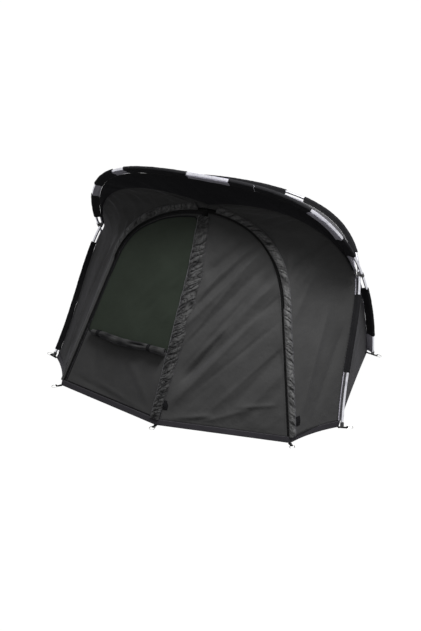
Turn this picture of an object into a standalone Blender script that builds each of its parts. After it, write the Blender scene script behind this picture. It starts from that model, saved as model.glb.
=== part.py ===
"""Two-hoop bivvy tent for one angler.

Metres, +Z up, the front faces -Y. The origin lies on the underside of the
groundsheet, in the middle of its width. Two crossing hoops of sectional
aluminium pole carry a sewn shell in fabric sleeves. The front has two zipped
leaves between curved zip arches, and the left leaf holds a mesh window with
its storm cover rolled below it.
"""
import math

import bmesh
import bpy
import numpy as np
from mathutils import Matrix, Vector

# Clearances and cloth
GAP = 0.0003
SEWN_GAP = 0.0005
CLOTH = 0.0025
LIGHT_CLOTH = 0.0015

# Footprint, from the origin in the middle of the floor
DOOR_POINT_Y = -0.98
RIGHT_LEAF_WIDTH = 0.841
LEFT_LEAF_WIDTH = 0.805
LEAF_SPLAY = math.radians(12.7)
LEAF_LEAN = math.radians(29.05)
REAR_CORNER_X = 0.55
REAR_CORNER_Y = 0.96
REAR_CORNER_RISE = 0.018
HEM_HEIGHT = 0.030
HEM_FOOT = 0.0014
WING_HEM_SAG = 0.020
SIDE_HEM_SAG = 0.006
BACK_HEM_SAG = 0.012

# Hoops: foot, lean from the vertical, height along the leaning plane, and handles
FRONT_FOOT_X = 0.929
FRONT_FOOT_Y = 0.651
FRONT_LEAN = math.radians(-37.2)
FRONT_ARC_HEIGHT = 1.855
FRONT_SIDE_PULL = 0.200
FRONT_SIDE_SHARE = 0.974
FRONT_CROWN_SHARE = 0.679
FRONT_DROP = 0.046

REAR_FOOT_X = 1.050
REAR_FOOT_Y = -0.472
REAR_LEAN = math.radians(29.4)
REAR_ARC_HEIGHT = 1.442
REAR_SIDE_PULL = -0.155
REAR_SIDE_SHARE = 0.545
REAR_CROWN_SHARE = 1.155
REAR_DROP = 0.026

# Poles
POLE_RADIUS = 0.009
POLE_WALL = 0.0014
POLE_STEP = 0.110
FRONT_SECTIONS = 5
REAR_SECTIONS = 5
FERRULE_REACH = 0.045
FERRULE_FIT = 0.86
TIP_RADIUS = 0.012
TIP_COLLAR = 0.020
TIP_SPIGOT = 0.026
CLIP_LENGTH = 0.030
CLIP_WALL = 0.003
CLIP_BRIDGE_SHARE = 0.9

# Sleeves, as shares of each hoop's length from the left foot to the right foot
SLEEVE_CLEARANCE = 0.0025
FRONT_SLEEVE_SHARES = (
    (0.058, 0.181), (0.236, 0.292), (0.322, 0.372), (0.394, 0.485), (0.541, 0.571),
    (0.576, 0.647), (0.708, 0.744), (0.819, 0.942),
)
REAR_SLEEVE_SHARES = ((0.014, 0.201), (0.266, 0.389), (0.422, 0.578), (0.611, 0.734), (0.799, 0.917))

# Zips, flaps and window
ZIP_HALF = 0.014
COIL_WIDTH = 0.0045
COIL_RISE = 0.0008
COIL_DEPTH = 0.0036
TAPE_THICKNESS = 0.0016
WING_SETBACK = 0.0022
RIDGE_SETBACK = 0.0020
SIDE_SETBACK = 0.0030
CROSSING_CLEARANCE = 0.012
ARCH_CROWN = 1.380
RIGHT_KNEE_P = 0.700
RIGHT_KNEE_Q = 0.830
RIGHT_HANDLE_SHARES = (0.36, 0.47)
LEFT_KNEE_P = 0.716
LEFT_KNEE_Q = 0.930
LEFT_HANDLE_SHARES = (0.30, 0.47)
FLAP_WIDTH = 0.052
CENTRE_FLAP_WIDTH = 0.070
CENTRE_FLAP_SHARES = ((0.0, 0.14), (0.07, 0.17), (0.27, 0.55), (0.50, 0.90), (0.72, 1.0), (1.0, 0.45))
CENTRE_FLAP_STOP = 0.038
FLAP_RISE = 0.0045
FLAP_SEWN_RISE = 0.0008
FLAP_CROWN_STOP = 0.062
FLAP_STANDOFF = 0.0065
STANDOFF_LENGTHS = (0.22, 0.38)
RUCHE_PITCH = 0.110
RUCHE_DEPTH = 0.0030
RUCHE_STEP = 0.036
RIGHT_RUCHE_SHARES = (-1.0, 0.0)
LEFT_RUCHE_SHARES = (0.45, 0.65)
WING_REACH_SHARE = 0.8
WING_SHARES = (0.0, 0.2, 0.44, 0.7, 1.0)
FOLD_DEPTH = 0.011
FOLD_PITCH = 0.135
FOLD_SLOPE = math.radians(50.0)
FOLD_START_SHARES = (0.16, 0.34)
FOLD_EDGE_SHARES = (0.0, 0.16)

# Brow: its lower edge from a crossing to the middle, as handles in the front hoop's
# plane, given as shares of the foot's place and of the hoop's height
BROW_SIDE_SHARES = (0.9365, 0.7332)
BROW_MIDDLE_SHARES = (0.7104, 0.9650)
BROW_CROWN_SHARES = (0.0, 0.8377)
BROW_START_SHARE = 0.085
BROW_ROWS = 4

# Window: how far its edge stands in from the leaf's, as shares of a grid cell
WINDOW_EDGE_SHARES = (0.45, 0.40)

# Inward sag of the stretched panels
ROOF_SAG = 0.006
BACK_SAG = 0.022
SIDE_SAG = 0.008
WING_SAG = 0.010

# Storm cover roll and its straps, as places on the left leaf
ROLL_RADIUS = 0.025
ROLL_ENDS = ((0.690, 0.408), (0.095, 0.446))
ROLL_SHARES = (0.0, 0.03, 0.075, 0.125, 0.18, 0.32, 0.47, 0.62, 0.72, 0.775, 0.825, 0.88, 0.96, 1.0)
ROLL_FULLNESS = (0.70, 0.92, 0.84, 0.84, 0.95, 1.0, 0.97, 1.0, 0.95, 0.84, 0.84, 0.95, 0.90, 0.68)
STRAP_SHARES = (0.10, 0.80)
STRAP_FULLNESS = 0.84
STRAP_WIDTH = 0.022
STRAP_THICKNESS = 0.002
STRAP_SLACK = 0.0007

# Webbing, rings, tabs and sliders
FIN_SHARE = 0.55
WEB_WIDTH = 0.022
WEB_THICKNESS = 0.0025
WEB_REACH = 0.034
WEB_ROOT = 0.0012
EYE_RADIUS = 0.0030
EYE_WRAP = math.radians(290.0)
RING_WIRE = 0.0023
RING_WIDTH = 0.032
RING_LENGTH = 0.036
TAB_WIDTH = 0.024
TAB_LENGTH = 0.042
TAB_THICKNESS = 0.002
TAB_HEIGHT = 0.100
TAB_MARGIN = 0.004
TAB_LEG_SHARE = 0.9
SLIDER_WIDTH = 0.012
SLIDER_LENGTH = 0.026
SLIDER_DEPTH = 0.006
SLIDER_CORNER = 0.0015
SLIDER_START = 0.110
LUG_RADIUS = 0.0034
LUG_LENGTH = 0.004
LUG_BORE = 0.0017
LUG_LIFT = 0.0008
PULL_WIRE = 0.0011
PULL_WIDTH = 0.009
PULL_LENGTH = 0.024
GROUNDSHEET_THICKNESS = 0.003
FLOOR_INSET = 0.0052

# Grid counts
BACK_EDGE_STEPS = 8
ROOF_COLUMNS = 3 * BACK_EDGE_STEPS + 1
SIDE_ROWS = 9
LEG_STEPS = 9
CURVE_STEPS = 12
CORNER_STEP = 13
HOOP_SAMPLES = 400
PANEL_FOOT = HEM_HEIGHT + 1.6 * SEWN_GAP
INSIDE = np.array((0.0, 0.0, HEM_HEIGHT))
UP = np.array((0.0, 0.0, 1.0))

for leftover in list(bpy.data.objects):
    bpy.data.objects.remove(leftover, do_unlink=True)
PARTS = bpy.data.collections.new("bivvy_tent")
TOOLS = bpy.data.collections.new("cutters")
bpy.context.scene.collection.children.link(PARTS)
bpy.context.scene.collection.children.link(TOOLS)


def finish(name, colour, roughness, metallic=0.0):
    """A plain Principled material."""
    material = bpy.data.materials.new(name)
    material.use_nodes = True
    shader = material.node_tree.nodes["Principled BSDF"]
    shader.inputs["Base Color"].default_value = (*colour, 1.0)
    shader.inputs["Roughness"].default_value = roughness
    shader.inputs["Metallic"].default_value = metallic
    return material


SHELL = finish("shell_cloth", (0.035, 0.035, 0.037), 0.75)
SLEEVE_CLOTH = finish("sleeve_cloth", (0.018, 0.018, 0.019), 0.85)
MESH = finish("window_mesh", (0.022, 0.030, 0.024), 0.6)
WEBBING = finish("webbing", (0.012, 0.012, 0.012), 0.8)
ZIP = finish("zip_coil", (0.010, 0.010, 0.010), 0.45)
ALLOY = finish("pole_alloy", (0.62, 0.62, 0.64), 0.35, 1.0)
STEEL = finish("ring_steel", (0.72, 0.72, 0.72), 0.25, 1.0)
PLASTIC = finish("black_plastic", (0.015, 0.015, 0.015), 0.5)
FLOOR_SHEET = finish("floor_sheet", (0.030, 0.034, 0.028), 0.6)


def unit(vector):
    """The same direction at length one."""
    vector = np.asarray(vector, float)
    return vector / np.linalg.norm(vector)


def bezier(points, count):
    """Points of a cubic Bezier curve."""
    t = np.linspace(0.0, 1.0, count)[:, None]
    a, b, c, d = (np.asarray(p, float) for p in points)
    return (1 - t) ** 3 * a + 3 * (1 - t) ** 2 * t * b + 3 * (1 - t) * t ** 2 * c + t ** 3 * d


def resample(points, count):
    """The same polyline with count points evenly spaced along it."""
    points = np.asarray(points, float)
    steps = np.linalg.norm(np.diff(points, axis=0), axis=1)
    along = np.concatenate(([0.0], np.cumsum(steps)))
    wanted = np.linspace(0.0, along[-1], count)
    return np.stack([np.interp(wanted, along, points[:, k]) for k in range(points.shape[1])], -1)


class Hoop:
    """A pole bent in a leaning plane, as a polyline that everything on it follows."""

    def __init__(self, foot_x, foot_y, lean, height, side_pull, side_share, crown_share):
        half = bezier(
            ((foot_x, 0.0), (foot_x + side_pull, side_share * height),
             (crown_share * foot_x, height), (0.0, height)), HOOP_SAMPLES)
        whole = np.concatenate((half * (-1.0, 1.0), half[::-1][1:]))
        segments = 2 * round(np.linalg.norm(np.diff(whole, axis=0), axis=1).sum() / POLE_STEP / 2)
        flat = resample(whole, segments + 1)
        self.segments = segments
        self.up = np.array((0.0, math.sin(lean), math.cos(lean)))
        self.across = np.cross((1.0, 0.0, 0.0), self.up)
        self.points = self.lift(flat) + np.array((0.0, foot_y, 0.0))
        tangent = np.gradient(flat, axis=0)
        tangent /= np.linalg.norm(tangent, axis=1)[:, None]
        self.inward = self.lift(np.stack((tangent[:, 1], -tangent[:, 0]), -1))
        steps = np.linalg.norm(np.diff(self.points, axis=0), axis=1)
        self.arc = np.concatenate(([0.0], np.cumsum(steps)))
        self.length = self.arc[-1]

    def lift(self, flat):
        """Plane coordinates as directions or places in space."""
        return flat[:, :1] * np.array((1.0, 0.0, 0.0)) + flat[:, 1:] * self.up

    def at(self, arc, inward=0.0):
        """A place on the pole's axis, or set inward of it in the hoop's plane."""
        place = np.array([np.interp(arc, self.arc, self.points[:, k]) for k in range(3)])
        return place + inward * self.inward_at(arc)

    def inward_at(self, arc):
        """The direction in the plane towards the inside of the hoop."""
        return unit([np.interp(arc, self.arc, self.inward[:, k]) for k in range(3)])

    def stops(self, start, end):
        """Arc lengths from start to end with the polyline's own corners between."""
        inner = [arc for arc in self.arc if start + GAP < arc < end - GAP]
        return [start] + inner + [end]

    def arc_at_height(self, height):
        """Arc length on the right side where the pole is at a height."""
        half = self.segments // 2
        heights = self.points[half:, 2][::-1]
        return float(np.interp(height, heights, self.arc[half:][::-1]))

    def seam_arc(self, height, drop):
        """Arc length from the left foot where the shell's seam is at a height."""
        rise = (self.points[1] - self.points[0])[2] / self.arc[1]
        return (height - drop * self.inward[0][2]) / rise

    def seam_at(self, arc, drop):
        """A place on the seam near the left foot, also a little below the pole's end."""
        first = unit(self.points[1] - self.points[0])
        return self.points[0] + arc * first + drop * self.inward[0]

    def seam(self, start, end, drop, count):
        """The line where the shell hangs from this hoop."""
        return np.array([self.at(arc, drop) for arc in np.linspace(start, end, count)])


FRONT = Hoop(FRONT_FOOT_X, FRONT_FOOT_Y, FRONT_LEAN, FRONT_ARC_HEIGHT,
             FRONT_SIDE_PULL, FRONT_SIDE_SHARE, FRONT_CROWN_SHARE)
REAR = Hoop(REAR_FOOT_X, REAR_FOOT_Y, REAR_LEAN, REAR_ARC_HEIGHT,
            REAR_SIDE_PULL, REAR_SIDE_SHARE, REAR_CROWN_SHARE)
CROSS_HEIGHT = (FRONT_FOOT_Y - REAR_FOOT_Y) / (math.tan(REAR_LEAN) - math.tan(FRONT_LEAN))
FRONT_CROSS = FRONT.arc_at_height(CROSS_HEIGHT)
REAR_CROSS = REAR.arc_at_height(CROSS_HEIGHT)


class Leaf:
    """The flat plane of one front leaf: p along the hem, q up the slope."""

    def __init__(self, side, width, knee_p, knee_q, handle_shares):
        self.side = side
        self.width = width
        self.origin = np.array((0.0, DOOR_POINT_Y, 0.0))
        self.p = np.array((side * math.cos(LEAF_SPLAY), math.sin(LEAF_SPLAY), 0.0))
        seam = np.array((0.0, math.sin(LEAF_LEAN), math.cos(LEAF_LEAN)))
        self.q = unit(seam - seam.dot(self.p) * self.p)
        self.out = side * np.cross(self.p, self.q)
        self.seam = np.array((seam.dot(self.p), seam.dot(self.q)))
        self.seam_across = np.array((self.seam[1], -self.seam[0]))
        self.knee = np.array((knee_p, knee_q))
        self.foot = np.array((width, 0.0))
        self.crown = self.seam * ARCH_CROWN
        rise = self.knee - self.foot
        reach = np.linalg.norm(self.crown - self.knee)
        straight = rise / np.linalg.norm(rise)
        self.curve = bezier(
            (self.knee, self.knee + handle_shares[0] * reach * straight,
             self.crown + handle_shares[1] * reach * self.seam_across, self.crown), HOOP_SAMPLES)
        self.straight = straight

    def place(self, p, q, out=0.0):
        """A point of the leaf's outer face, or in front of it."""
        return self.origin + p * self.p + q * self.q + out * self.out

    def hem_q(self, height):
        """How far up the slope a height above the ground is."""
        return height / self.q[2]


RIGHT = Leaf(1.0, RIGHT_LEAF_WIDTH, RIGHT_KNEE_P, RIGHT_KNEE_Q, RIGHT_HANDLE_SHARES)
CENTRE_SPLIT = GAP / 2 + COIL_DEPTH * abs(RIGHT.out[0])
LEFT = Leaf(-1.0, LEFT_LEAF_WIDTH, LEFT_KNEE_P, LEFT_KNEE_Q, LEFT_HANDLE_SHARES)


def keep(obj, material, smooth=True):
    """Link a finished object with its material."""
    if material is not None:
        obj.data.materials.append(material)
    PARTS.objects.link(obj)
    if smooth and obj.type == "MESH":
        obj.data.shade_smooth()
    return obj


def mesh_object(name, bm, material, smooth=True):
    """A mesh object from a bmesh."""
    mesh = bpy.data.meshes.new(name)
    bm.to_mesh(mesh)
    bm.free()
    return keep(bpy.data.objects.new(name, mesh), material, smooth)


def thicken(obj, thickness, outward=False):
    """Give an open surface its cloth thickness behind, or in front of, its face."""
    modifier = obj.modifiers.new("thickness", "SOLIDIFY")
    modifier.thickness = thickness
    modifier.offset = 1.0 if outward else -1.0
    return obj


def add_grid(bm, grid, holes=()):
    """Lay a grid primitive onto a table of places, leaving some cells open."""
    rows, columns = grid.shape[:2]
    made = bmesh.ops.create_grid(bm, x_segments=columns - 1, y_segments=rows - 1, size=1.0)
    cells = {}
    for vert in made["verts"]:
        i = round((vert.co.x + 1.0) / 2.0 * (columns - 1))
        j = round((vert.co.y + 1.0) / 2.0 * (rows - 1))
        cells[vert] = (j, i)
    faces = {face for vert in made["verts"] for face in vert.link_faces}
    open_faces = []
    for face in faces:
        corner = min(cells[vert] for vert in face.verts)
        if corner in holes:
            open_faces.append(face)
    for vert, (j, i) in cells.items():
        vert.co = grid[j, i]
    if open_faces:
        bmesh.ops.delete(bm, geom=open_faces, context="FACES")


def sheet(name, grid, material, thickness=CLOTH, holes=(), outward=False, weld=False):
    """A cloth panel laid on a grid of places."""
    bm = bmesh.new()
    add_grid(bm, grid, holes)
    if weld:
        bmesh.ops.remove_doubles(bm, verts=bm.verts, dist=GAP / 3)
    return thicken(mesh_object(name, bm, material), thickness, outward)


def coons(bottom, top, left, right):
    """A smooth patch between four edges."""
    u = np.linspace(0.0, 1.0, len(bottom))[None, :, None]
    v = np.linspace(0.0, 1.0, len(left))[:, None, None]
    up = (1 - v) * bottom[None] + v * top[None]
    over = (1 - u) * left[:, None] + u * right[:, None]
    low = (1 - u) * bottom[0] + u * bottom[-1]
    high = (1 - u) * top[0] + u * top[-1]
    return up + over - (1 - v) * low - v * high


def pull_in(grid, bottom=0.0, top=0.0, left=0.0, right=0.0):
    """Set the edges of a patch back along the patch itself."""
    grid = grid.copy()

    def move(edge, inner, distance):
        step = inner - edge
        return edge + distance * step / np.linalg.norm(step, axis=-1)[..., None]

    if bottom:
        grid[0] = move(grid[0], grid[1], bottom)
    if top:
        grid[-1] = move(grid[-1], grid[-2], top)
    if left:
        grid[:, 0] = move(grid[:, 0], grid[:, 1], left)
    if right:
        grid[:, -1] = move(grid[:, -1], grid[:, -2], right)
    return grid


def belly(grid, depth):
    """Let a patch sag inward between its edges, as stretched cloth does."""
    rows, columns = grid.shape[:2]
    along_u = np.gradient(grid, axis=1)
    along_v = np.gradient(grid, axis=0)
    normal = np.cross(along_u, along_v)
    normal /= np.maximum(np.linalg.norm(normal, axis=-1), GAP ** 2)[..., None]
    u = np.sin(np.linspace(0.0, math.pi, columns))[None, :, None]
    v = np.sin(np.linspace(0.0, math.pi, rows))[:, None, None]
    return grid - depth * u * v * normal


def tube(name, points, radius, material, wall=0.0, resolution=2, radii=None, cyclic=False):
    """A bent rod or, with a wall, a bent pipe."""
    curve = bpy.data.curves.new(name, "CURVE")
    curve.dimensions = "3D"
    curve.bevel_depth = radius
    curve.bevel_resolution = resolution
    curve.use_fill_caps = not wall and not cyclic
    spline = curve.splines.new("POLY")
    spline.points.add(len(points) - 1)
    for k, (point, place) in enumerate(zip(spline.points, points)):
        point.co = (*place, 1.0)
        if radii is not None:
            point.radius = radii[k]
    spline.use_cyclic_u = cyclic
    obj = keep(bpy.data.objects.new(name, curve), material)
    if wall:
        thicken(obj, wall)
    return obj


def as_mesh(obj):
    """Replace a curve by its mesh, with welded caps."""
    graph = bpy.context.evaluated_depsgraph_get()
    graph.update()
    mesh = bpy.data.meshes.new_from_object(obj.evaluated_get(graph))
    bm = bmesh.new()
    bm.from_mesh(mesh)
    bmesh.ops.remove_doubles(bm, verts=bm.verts, dist=GAP / 3)
    bm.to_mesh(mesh)
    bm.free()
    name = obj.name
    placed = bpy.data.objects.new(name + "_mesh", mesh)
    placed.matrix_world = obj.matrix_world
    PARTS.objects.link(placed)
    bpy.data.objects.remove(obj, do_unlink=True)
    placed.name = name
    return placed


def joint_arcs(hoop, sections):
    """Arc lengths of the section joints, each midway between two corners."""
    arcs = []
    for k in range(1, sections):
        low = math.floor(k * hoop.segments / sections)
        arcs.append((hoop.arc[low] + hoop.arc[low + 1]) / 2)
    return arcs


def tip_start(hoop):
    """Arc length of a pole tip's centre, where it stands on its webbing."""
    rise = (hoop.points[1] - hoop.points[0])[2] / (hoop.arc[1] - hoop.arc[0])
    return (TIP_RADIUS + WEB_THICKNESS + GAP) / rise


def fuse(obj, other):
    """Join another solid to an object by a Boolean union."""
    part = as_mesh(other)
    PARTS.objects.unlink(part)
    TOOLS.objects.link(part)
    cut(obj, part, "UNION")


def make_poles(prefix, hoop, sections):
    """The pipe sections of a hoop; each carries the ferrule of the next joint, or a foot."""
    start = tip_start(hoop) + TIP_COLLAR
    joints = joint_arcs(hoop, sections)
    ends = [start] + joints + [hoop.length - start]
    inner = POLE_RADIUS - POLE_WALL
    for k in range(sections):
        low = ends[k] + (GAP if k else 0.0)
        high = ends[k + 1] - (GAP if k < sections - 1 else 0.0)
        places = [hoop.at(arc) for arc in hoop.stops(low, high)]
        pole = tube(f"{prefix}_pole_{k + 1}", places, POLE_RADIUS, ALLOY, wall=POLE_WALL)
        pole = as_mesh(pole)
        pole.data.shade_smooth()
        if k < sections - 1:
            stops = hoop.stops(high - FERRULE_REACH, high + FERRULE_REACH)
            tight = [arc for arc in stops if arc < high - CLOTH] + [high - CLOTH, high - CLOTH / 2]
            loose = [high + FERRULE_REACH]
            rod = tube("ferrule", [hoop.at(arc) for arc in tight + loose], inner, ALLOY, wall=POLE_WALL,
                       radii=[1 + POLE_WALL / inner / 2] * (len(tight) - 1) + [FERRULE_FIT] * 2)
            fuse(pole, rod)
        if k in (0, sections - 1):
            fuse(pole, make_tip(hoop, k > 0))


def make_tip(hoop, from_right):
    """A turned foot: a spigot in the pole's end, a collar and a round nose."""
    spigot = POLE_RADIUS - POLE_WALL / 2
    centre = tip_start(hoop)
    foot = hoop.length - centre if from_right else centre
    next_arc = foot - TIP_COLLAR if from_right else foot + TIP_COLLAR
    place = hoop.at(foot)
    axis = Vector(unit(hoop.at(next_arc) - place))
    collar = TIP_COLLAR - GAP
    outline = [(0.0, collar + TIP_SPIGOT), (spigot, collar + TIP_SPIGOT), (spigot, collar),
               (TIP_RADIUS, collar)]
    quarter = np.linspace(0.0, math.pi / 2, 4)
    outline += [(TIP_RADIUS * math.cos(a), -TIP_RADIUS * math.sin(a)) for a in quarter]
    outline[-1] = (0.0, -TIP_RADIUS)
    bm = bmesh.new()
    verts = [bm.verts.new((x, 0.0, z)) for x, z in outline]
    for a, b in zip(verts, verts[1:]):
        bm.edges.new((a, b))
    mesh = bpy.data.meshes.new("tip")
    bm.to_mesh(mesh)
    bm.free()
    obj = keep(bpy.data.objects.new("tip", mesh), PLASTIC)
    screw = obj.modifiers.new("turn", "SCREW")
    screw.steps = 12
    screw.render_steps = 12
    screw.use_merge_vertices = True
    screw.merge_threshold = GAP / 3
    turn = axis.to_track_quat("Z", "Y").to_matrix().to_4x4()
    obj.matrix_world = Matrix.Translation(place) @ turn
    return obj


def round_bar(place, direction, radius, length, sides=16):
    """A bmesh cylinder lying along a direction."""
    bm = bmesh.new()
    turn = Vector(direction).to_track_quat("Z", "Y").to_matrix().to_4x4()
    bmesh.ops.create_cone(bm, cap_ends=True, segments=sides, radius1=radius, radius2=radius,
                          depth=length, matrix=Matrix.Translation(place) @ turn)
    return bm


def cut(obj, other, operation):
    """A Boolean with a hidden tool object."""
    other.hide_render = True
    other.display_type = "WIRE"
    modifier = obj.modifiers.new(operation.lower(), "BOOLEAN")
    modifier.operation = operation
    modifier.object = other


def tool_object(name, bm):
    """A cutter, kept out of the part."""
    mesh = bpy.data.meshes.new(name)
    bm.to_mesh(mesh)
    bm.free()
    obj = bpy.data.objects.new(name, mesh)
    TOOLS.objects.link(obj)
    return obj


def make_clips():
    """Double clips that hold the two hoops together where they cross."""
    reach = POLE_RADIUS + CLIP_WALL
    bore = POLE_RADIUS + 2 * GAP
    for name, mirrored in (("right_crossing_clip", False), ("left_crossing_clip", True)):
        arcs = [hoop.length - arc if mirrored else arc
                for hoop, arc in ((FRONT, FRONT_CROSS), (REAR, REAR_CROSS))]
        bars = []
        for hoop, arc in zip((FRONT, REAR), arcs):
            direction = unit(hoop.at(arc + CLIP_LENGTH / 2) - hoop.at(arc - CLIP_LENGTH / 2))
            bars.append((hoop.at(arc), direction))
        body = mesh_object(name, round_bar(*bars[0], reach, CLIP_LENGTH), PLASTIC)
        cut(body, tool_object("clip_second", round_bar(*bars[1], reach, CLIP_LENGTH)), "UNION")
        (first, _), (second, _) = bars
        span = np.linalg.norm(second - first)
        bridge = round_bar((first + second) / 2, second - first, CLIP_BRIDGE_SHARE * reach, span)
        cut(body, tool_object("clip_bridge", bridge), "UNION")
        for place, direction in bars:
            cut(body, tool_object("clip_bore", round_bar(place, direction, bore, 4 * CLIP_LENGTH)),
                "DIFFERENCE")


def make_sleeve(name, hoop, start, end, shares, drop):
    """A strip of cloth sewn along the seam, with sleeves folded over the pole at their shares."""
    radius = POLE_RADIUS + SLEEVE_CLEARANCE
    low = drop - SEWN_GAP - GAP
    top = radius + FIN_SHARE * (low - radius)
    outline = [(-SEWN_GAP, low), (-SEWN_GAP, top)]
    outline += [(-radius * math.cos(a), -radius * math.sin(a)) for a in np.linspace(0.0, math.pi, 5)]
    outline += [(SEWN_GAP, top), (SEWN_GAP, low)]
    spans = [(a * hoop.length, b * hoop.length) for a, b in shares]
    ends = [arc for span in spans for arc in span if start < arc < end]
    near = [arc for arc in hoop.stops(start, end) if min([abs(arc - e) for e in ends] + [1.0]) > CLOTH]
    stops = sorted(near + ends)
    rows, open_cells = [], set()
    for j, arc in enumerate(stops):
        centre, inward = hoop.at(arc), hoop.inward_at(arc)
        rows.append([centre + across * hoop.across + depth * inward for across, depth in outline])
        middle = (arc + stops[min(j + 1, len(stops) - 1)]) / 2
        if not any(a < middle < b for a, b in spans):
            open_cells.update((j, i) for i in range(1, len(outline) - 2))
    return sheet(name, np.array(rows), SLEEVE_CLOTH, LIGHT_CLOTH, holes=open_cells, outward=True)


def make_sleeves(prefix, hoop, cross, shares, drop):
    """The strips of one hoop: each leg below the crossing, and the arch above it."""
    foot = hoop.seam_arc(PANEL_FOOT + CLOTH, drop)
    clear = CLIP_LENGTH
    left = hoop.length - cross
    make_sleeve(f"{prefix}_sleeve_left", hoop, foot, left - clear, shares, drop)
    make_sleeve(f"{prefix}_sleeve_top", hoop, left + clear, cross - clear, shares, drop)
    make_sleeve(f"{prefix}_sleeve_right", hoop, cross + clear, hoop.length - foot, shares, drop)


# Corners of the shell on the ground and at the top of the hem, right side first
def leaf_corner(leaf, height):
    """Where a leaf's outer seam meets a height."""
    point = leaf.foot + leaf.straight * leaf.hem_q(height) / leaf.straight[1]
    return leaf.place(*point)


def hoop_corner(hoop, drop, height, side):
    """Where a hoop's seam meets a height."""
    place = hoop.seam_at(hoop.seam_arc(height, drop), drop)
    return place * np.array((-side, 1.0, 1.0))


def rear_corner(height, side):
    """The two rear corners, below the sloping back."""
    slope = REAR_CORNER_RISE * height / HEM_HEIGHT
    return np.array((side * REAR_CORNER_X, REAR_CORNER_Y - slope, height))


def corners(height):
    """Shell corners at a height, anticlockwise from the middle of the front."""
    middle = RIGHT.place(*(RIGHT.seam * height / math.cos(LEAF_LEAN)))
    return [
        middle,
        leaf_corner(RIGHT, height), hoop_corner(REAR, REAR_DROP, height, 1.0),
        hoop_corner(FRONT, FRONT_DROP, height, 1.0), rear_corner(height, 1.0),
        rear_corner(height, -1.0), hoop_corner(FRONT, FRONT_DROP, height, -1.0),
        hoop_corner(REAR, REAR_DROP, height, -1.0), leaf_corner(LEFT, height),
    ]


HEM_SAGS = (0.0, WING_HEM_SAG, SIDE_HEM_SAG, BACK_HEM_SAG, BACK_HEM_SAG, BACK_HEM_SAG,
            SIDE_HEM_SAG, WING_HEM_SAG, 0.0)
HEM_STEPS = (1, 6, 2, 3, 4, 3, 2, 6, 1)


def hem_edge(k, height, count=0):
    """One edge of the hem between two corners, drawn in between them."""
    spots = corners(height)
    a, b = spots[k], spots[(k + 1) % len(spots)]
    count = count or HEM_STEPS[k] + 1
    t = np.linspace(0.0, 1.0, count)[:, None]
    inward = unit(np.cross((0.0, 0.0, 1.0), b - a))
    return a + (b - a) * t + HEM_SAGS[k] * 4 * t * (1 - t) * inward


def hem_outline(height):
    """The whole hem line, without its repeated last point."""
    return np.concatenate([hem_edge(k, height)[:-1] for k in range(len(HEM_STEPS))])


def inset(outline, distance):
    """A closed ground outline set inward by a distance."""
    flat = outline[:, :2]
    after = np.roll(flat, -1, axis=0) - flat
    before = flat - np.roll(flat, 1, axis=0)
    normals = []
    for edge in (before, after):
        edge = edge / np.linalg.norm(edge, axis=1)[:, None]
        normals.append(np.stack((-edge[:, 1], edge[:, 0]), -1))
    bisector = normals[0] + normals[1]
    scale = 2.0 / (bisector ** 2).sum(1)
    return flat + distance * bisector * scale[:, None]


def make_hem_and_floor():
    """The webbing hem round the foot of the shell, and the groundsheet inside it."""
    low, high = hem_outline(HEM_FOOT), hem_outline(HEM_HEIGHT)
    grid = np.array([np.concatenate((row, row[:1])) for row in (low, high)])
    band = sheet("hem_band", grid, WEBBING, weld=True)
    outline = inset(hem_outline(GROUNDSHEET_THICKNESS), FLOOR_INSET)
    curve = bpy.data.curves.new("groundsheet", "CURVE")
    curve.dimensions = "2D"
    curve.fill_mode = "BOTH"
    curve.extrude = GROUNDSHEET_THICKNESS / 2
    spline = curve.splines.new("POLY")
    spline.points.add(len(outline) - 1)
    for point, place in zip(spline.points, outline):
        point.co = (*place, 0.0, 1.0)
    spline.use_cyclic_u = True
    obj = keep(bpy.data.objects.new("groundsheet", curve), FLOOR_SHEET)
    obj.location.z = GROUNDSHEET_THICKNESS / 2
    return band


def brow_line(count):
    """The lower edge of the brow from the right crossing to the middle."""
    start = FRONT.at(FRONT_CROSS, FRONT_DROP)
    shares = np.array((BROW_SIDE_SHARES, BROW_MIDDLE_SHARES, BROW_CROWN_SHARES))
    handles = FRONT.lift(shares * np.array((FRONT_FOOT_X, FRONT_ARC_HEIGHT)))
    handles[:, 1] += FRONT_FOOT_Y
    return resample(bezier((start, *handles), HOOP_SAMPLES), count)


def mirrored(points):
    """The same places on the other side of the tent."""
    return np.asarray(points) * np.array((-1.0, 1.0, 1.0))


def faced(grid):
    """The same patch with its face turned away from the middle of the tent."""
    normal = np.cross(np.gradient(grid, axis=1), np.gradient(grid, axis=0)).reshape(-1, 3).sum(0)
    away = grid.reshape(-1, 3).mean(0) - INSIDE
    return grid[:, ::-1] if normal.dot(away) < 0 else grid


def regrid(grid, rows, columns):
    """A patch sampled at fractional rows and columns."""
    rows, columns = np.asarray(rows, float), np.asarray(columns, float)
    j = np.minimum(rows.astype(int), grid.shape[0] - 2)
    i = np.minimum(columns.astype(int), grid.shape[1] - 2)
    v = (rows - j)[:, None, None]
    u = (columns - i)[None, :, None]
    near = (1 - u) * grid[j][:, i] + u * grid[j][:, i + 1]
    far = (1 - u) * grid[j + 1][:, i] + u * grid[j + 1][:, i + 1]
    return (1 - v) * near + v * far


def ruled(first, last, shares):
    """Rows of points at shares of the way between two lines."""
    shares = np.asarray(shares, float)[:, None, None]
    return (1 - shares) * first[None] + shares * last[None]


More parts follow.
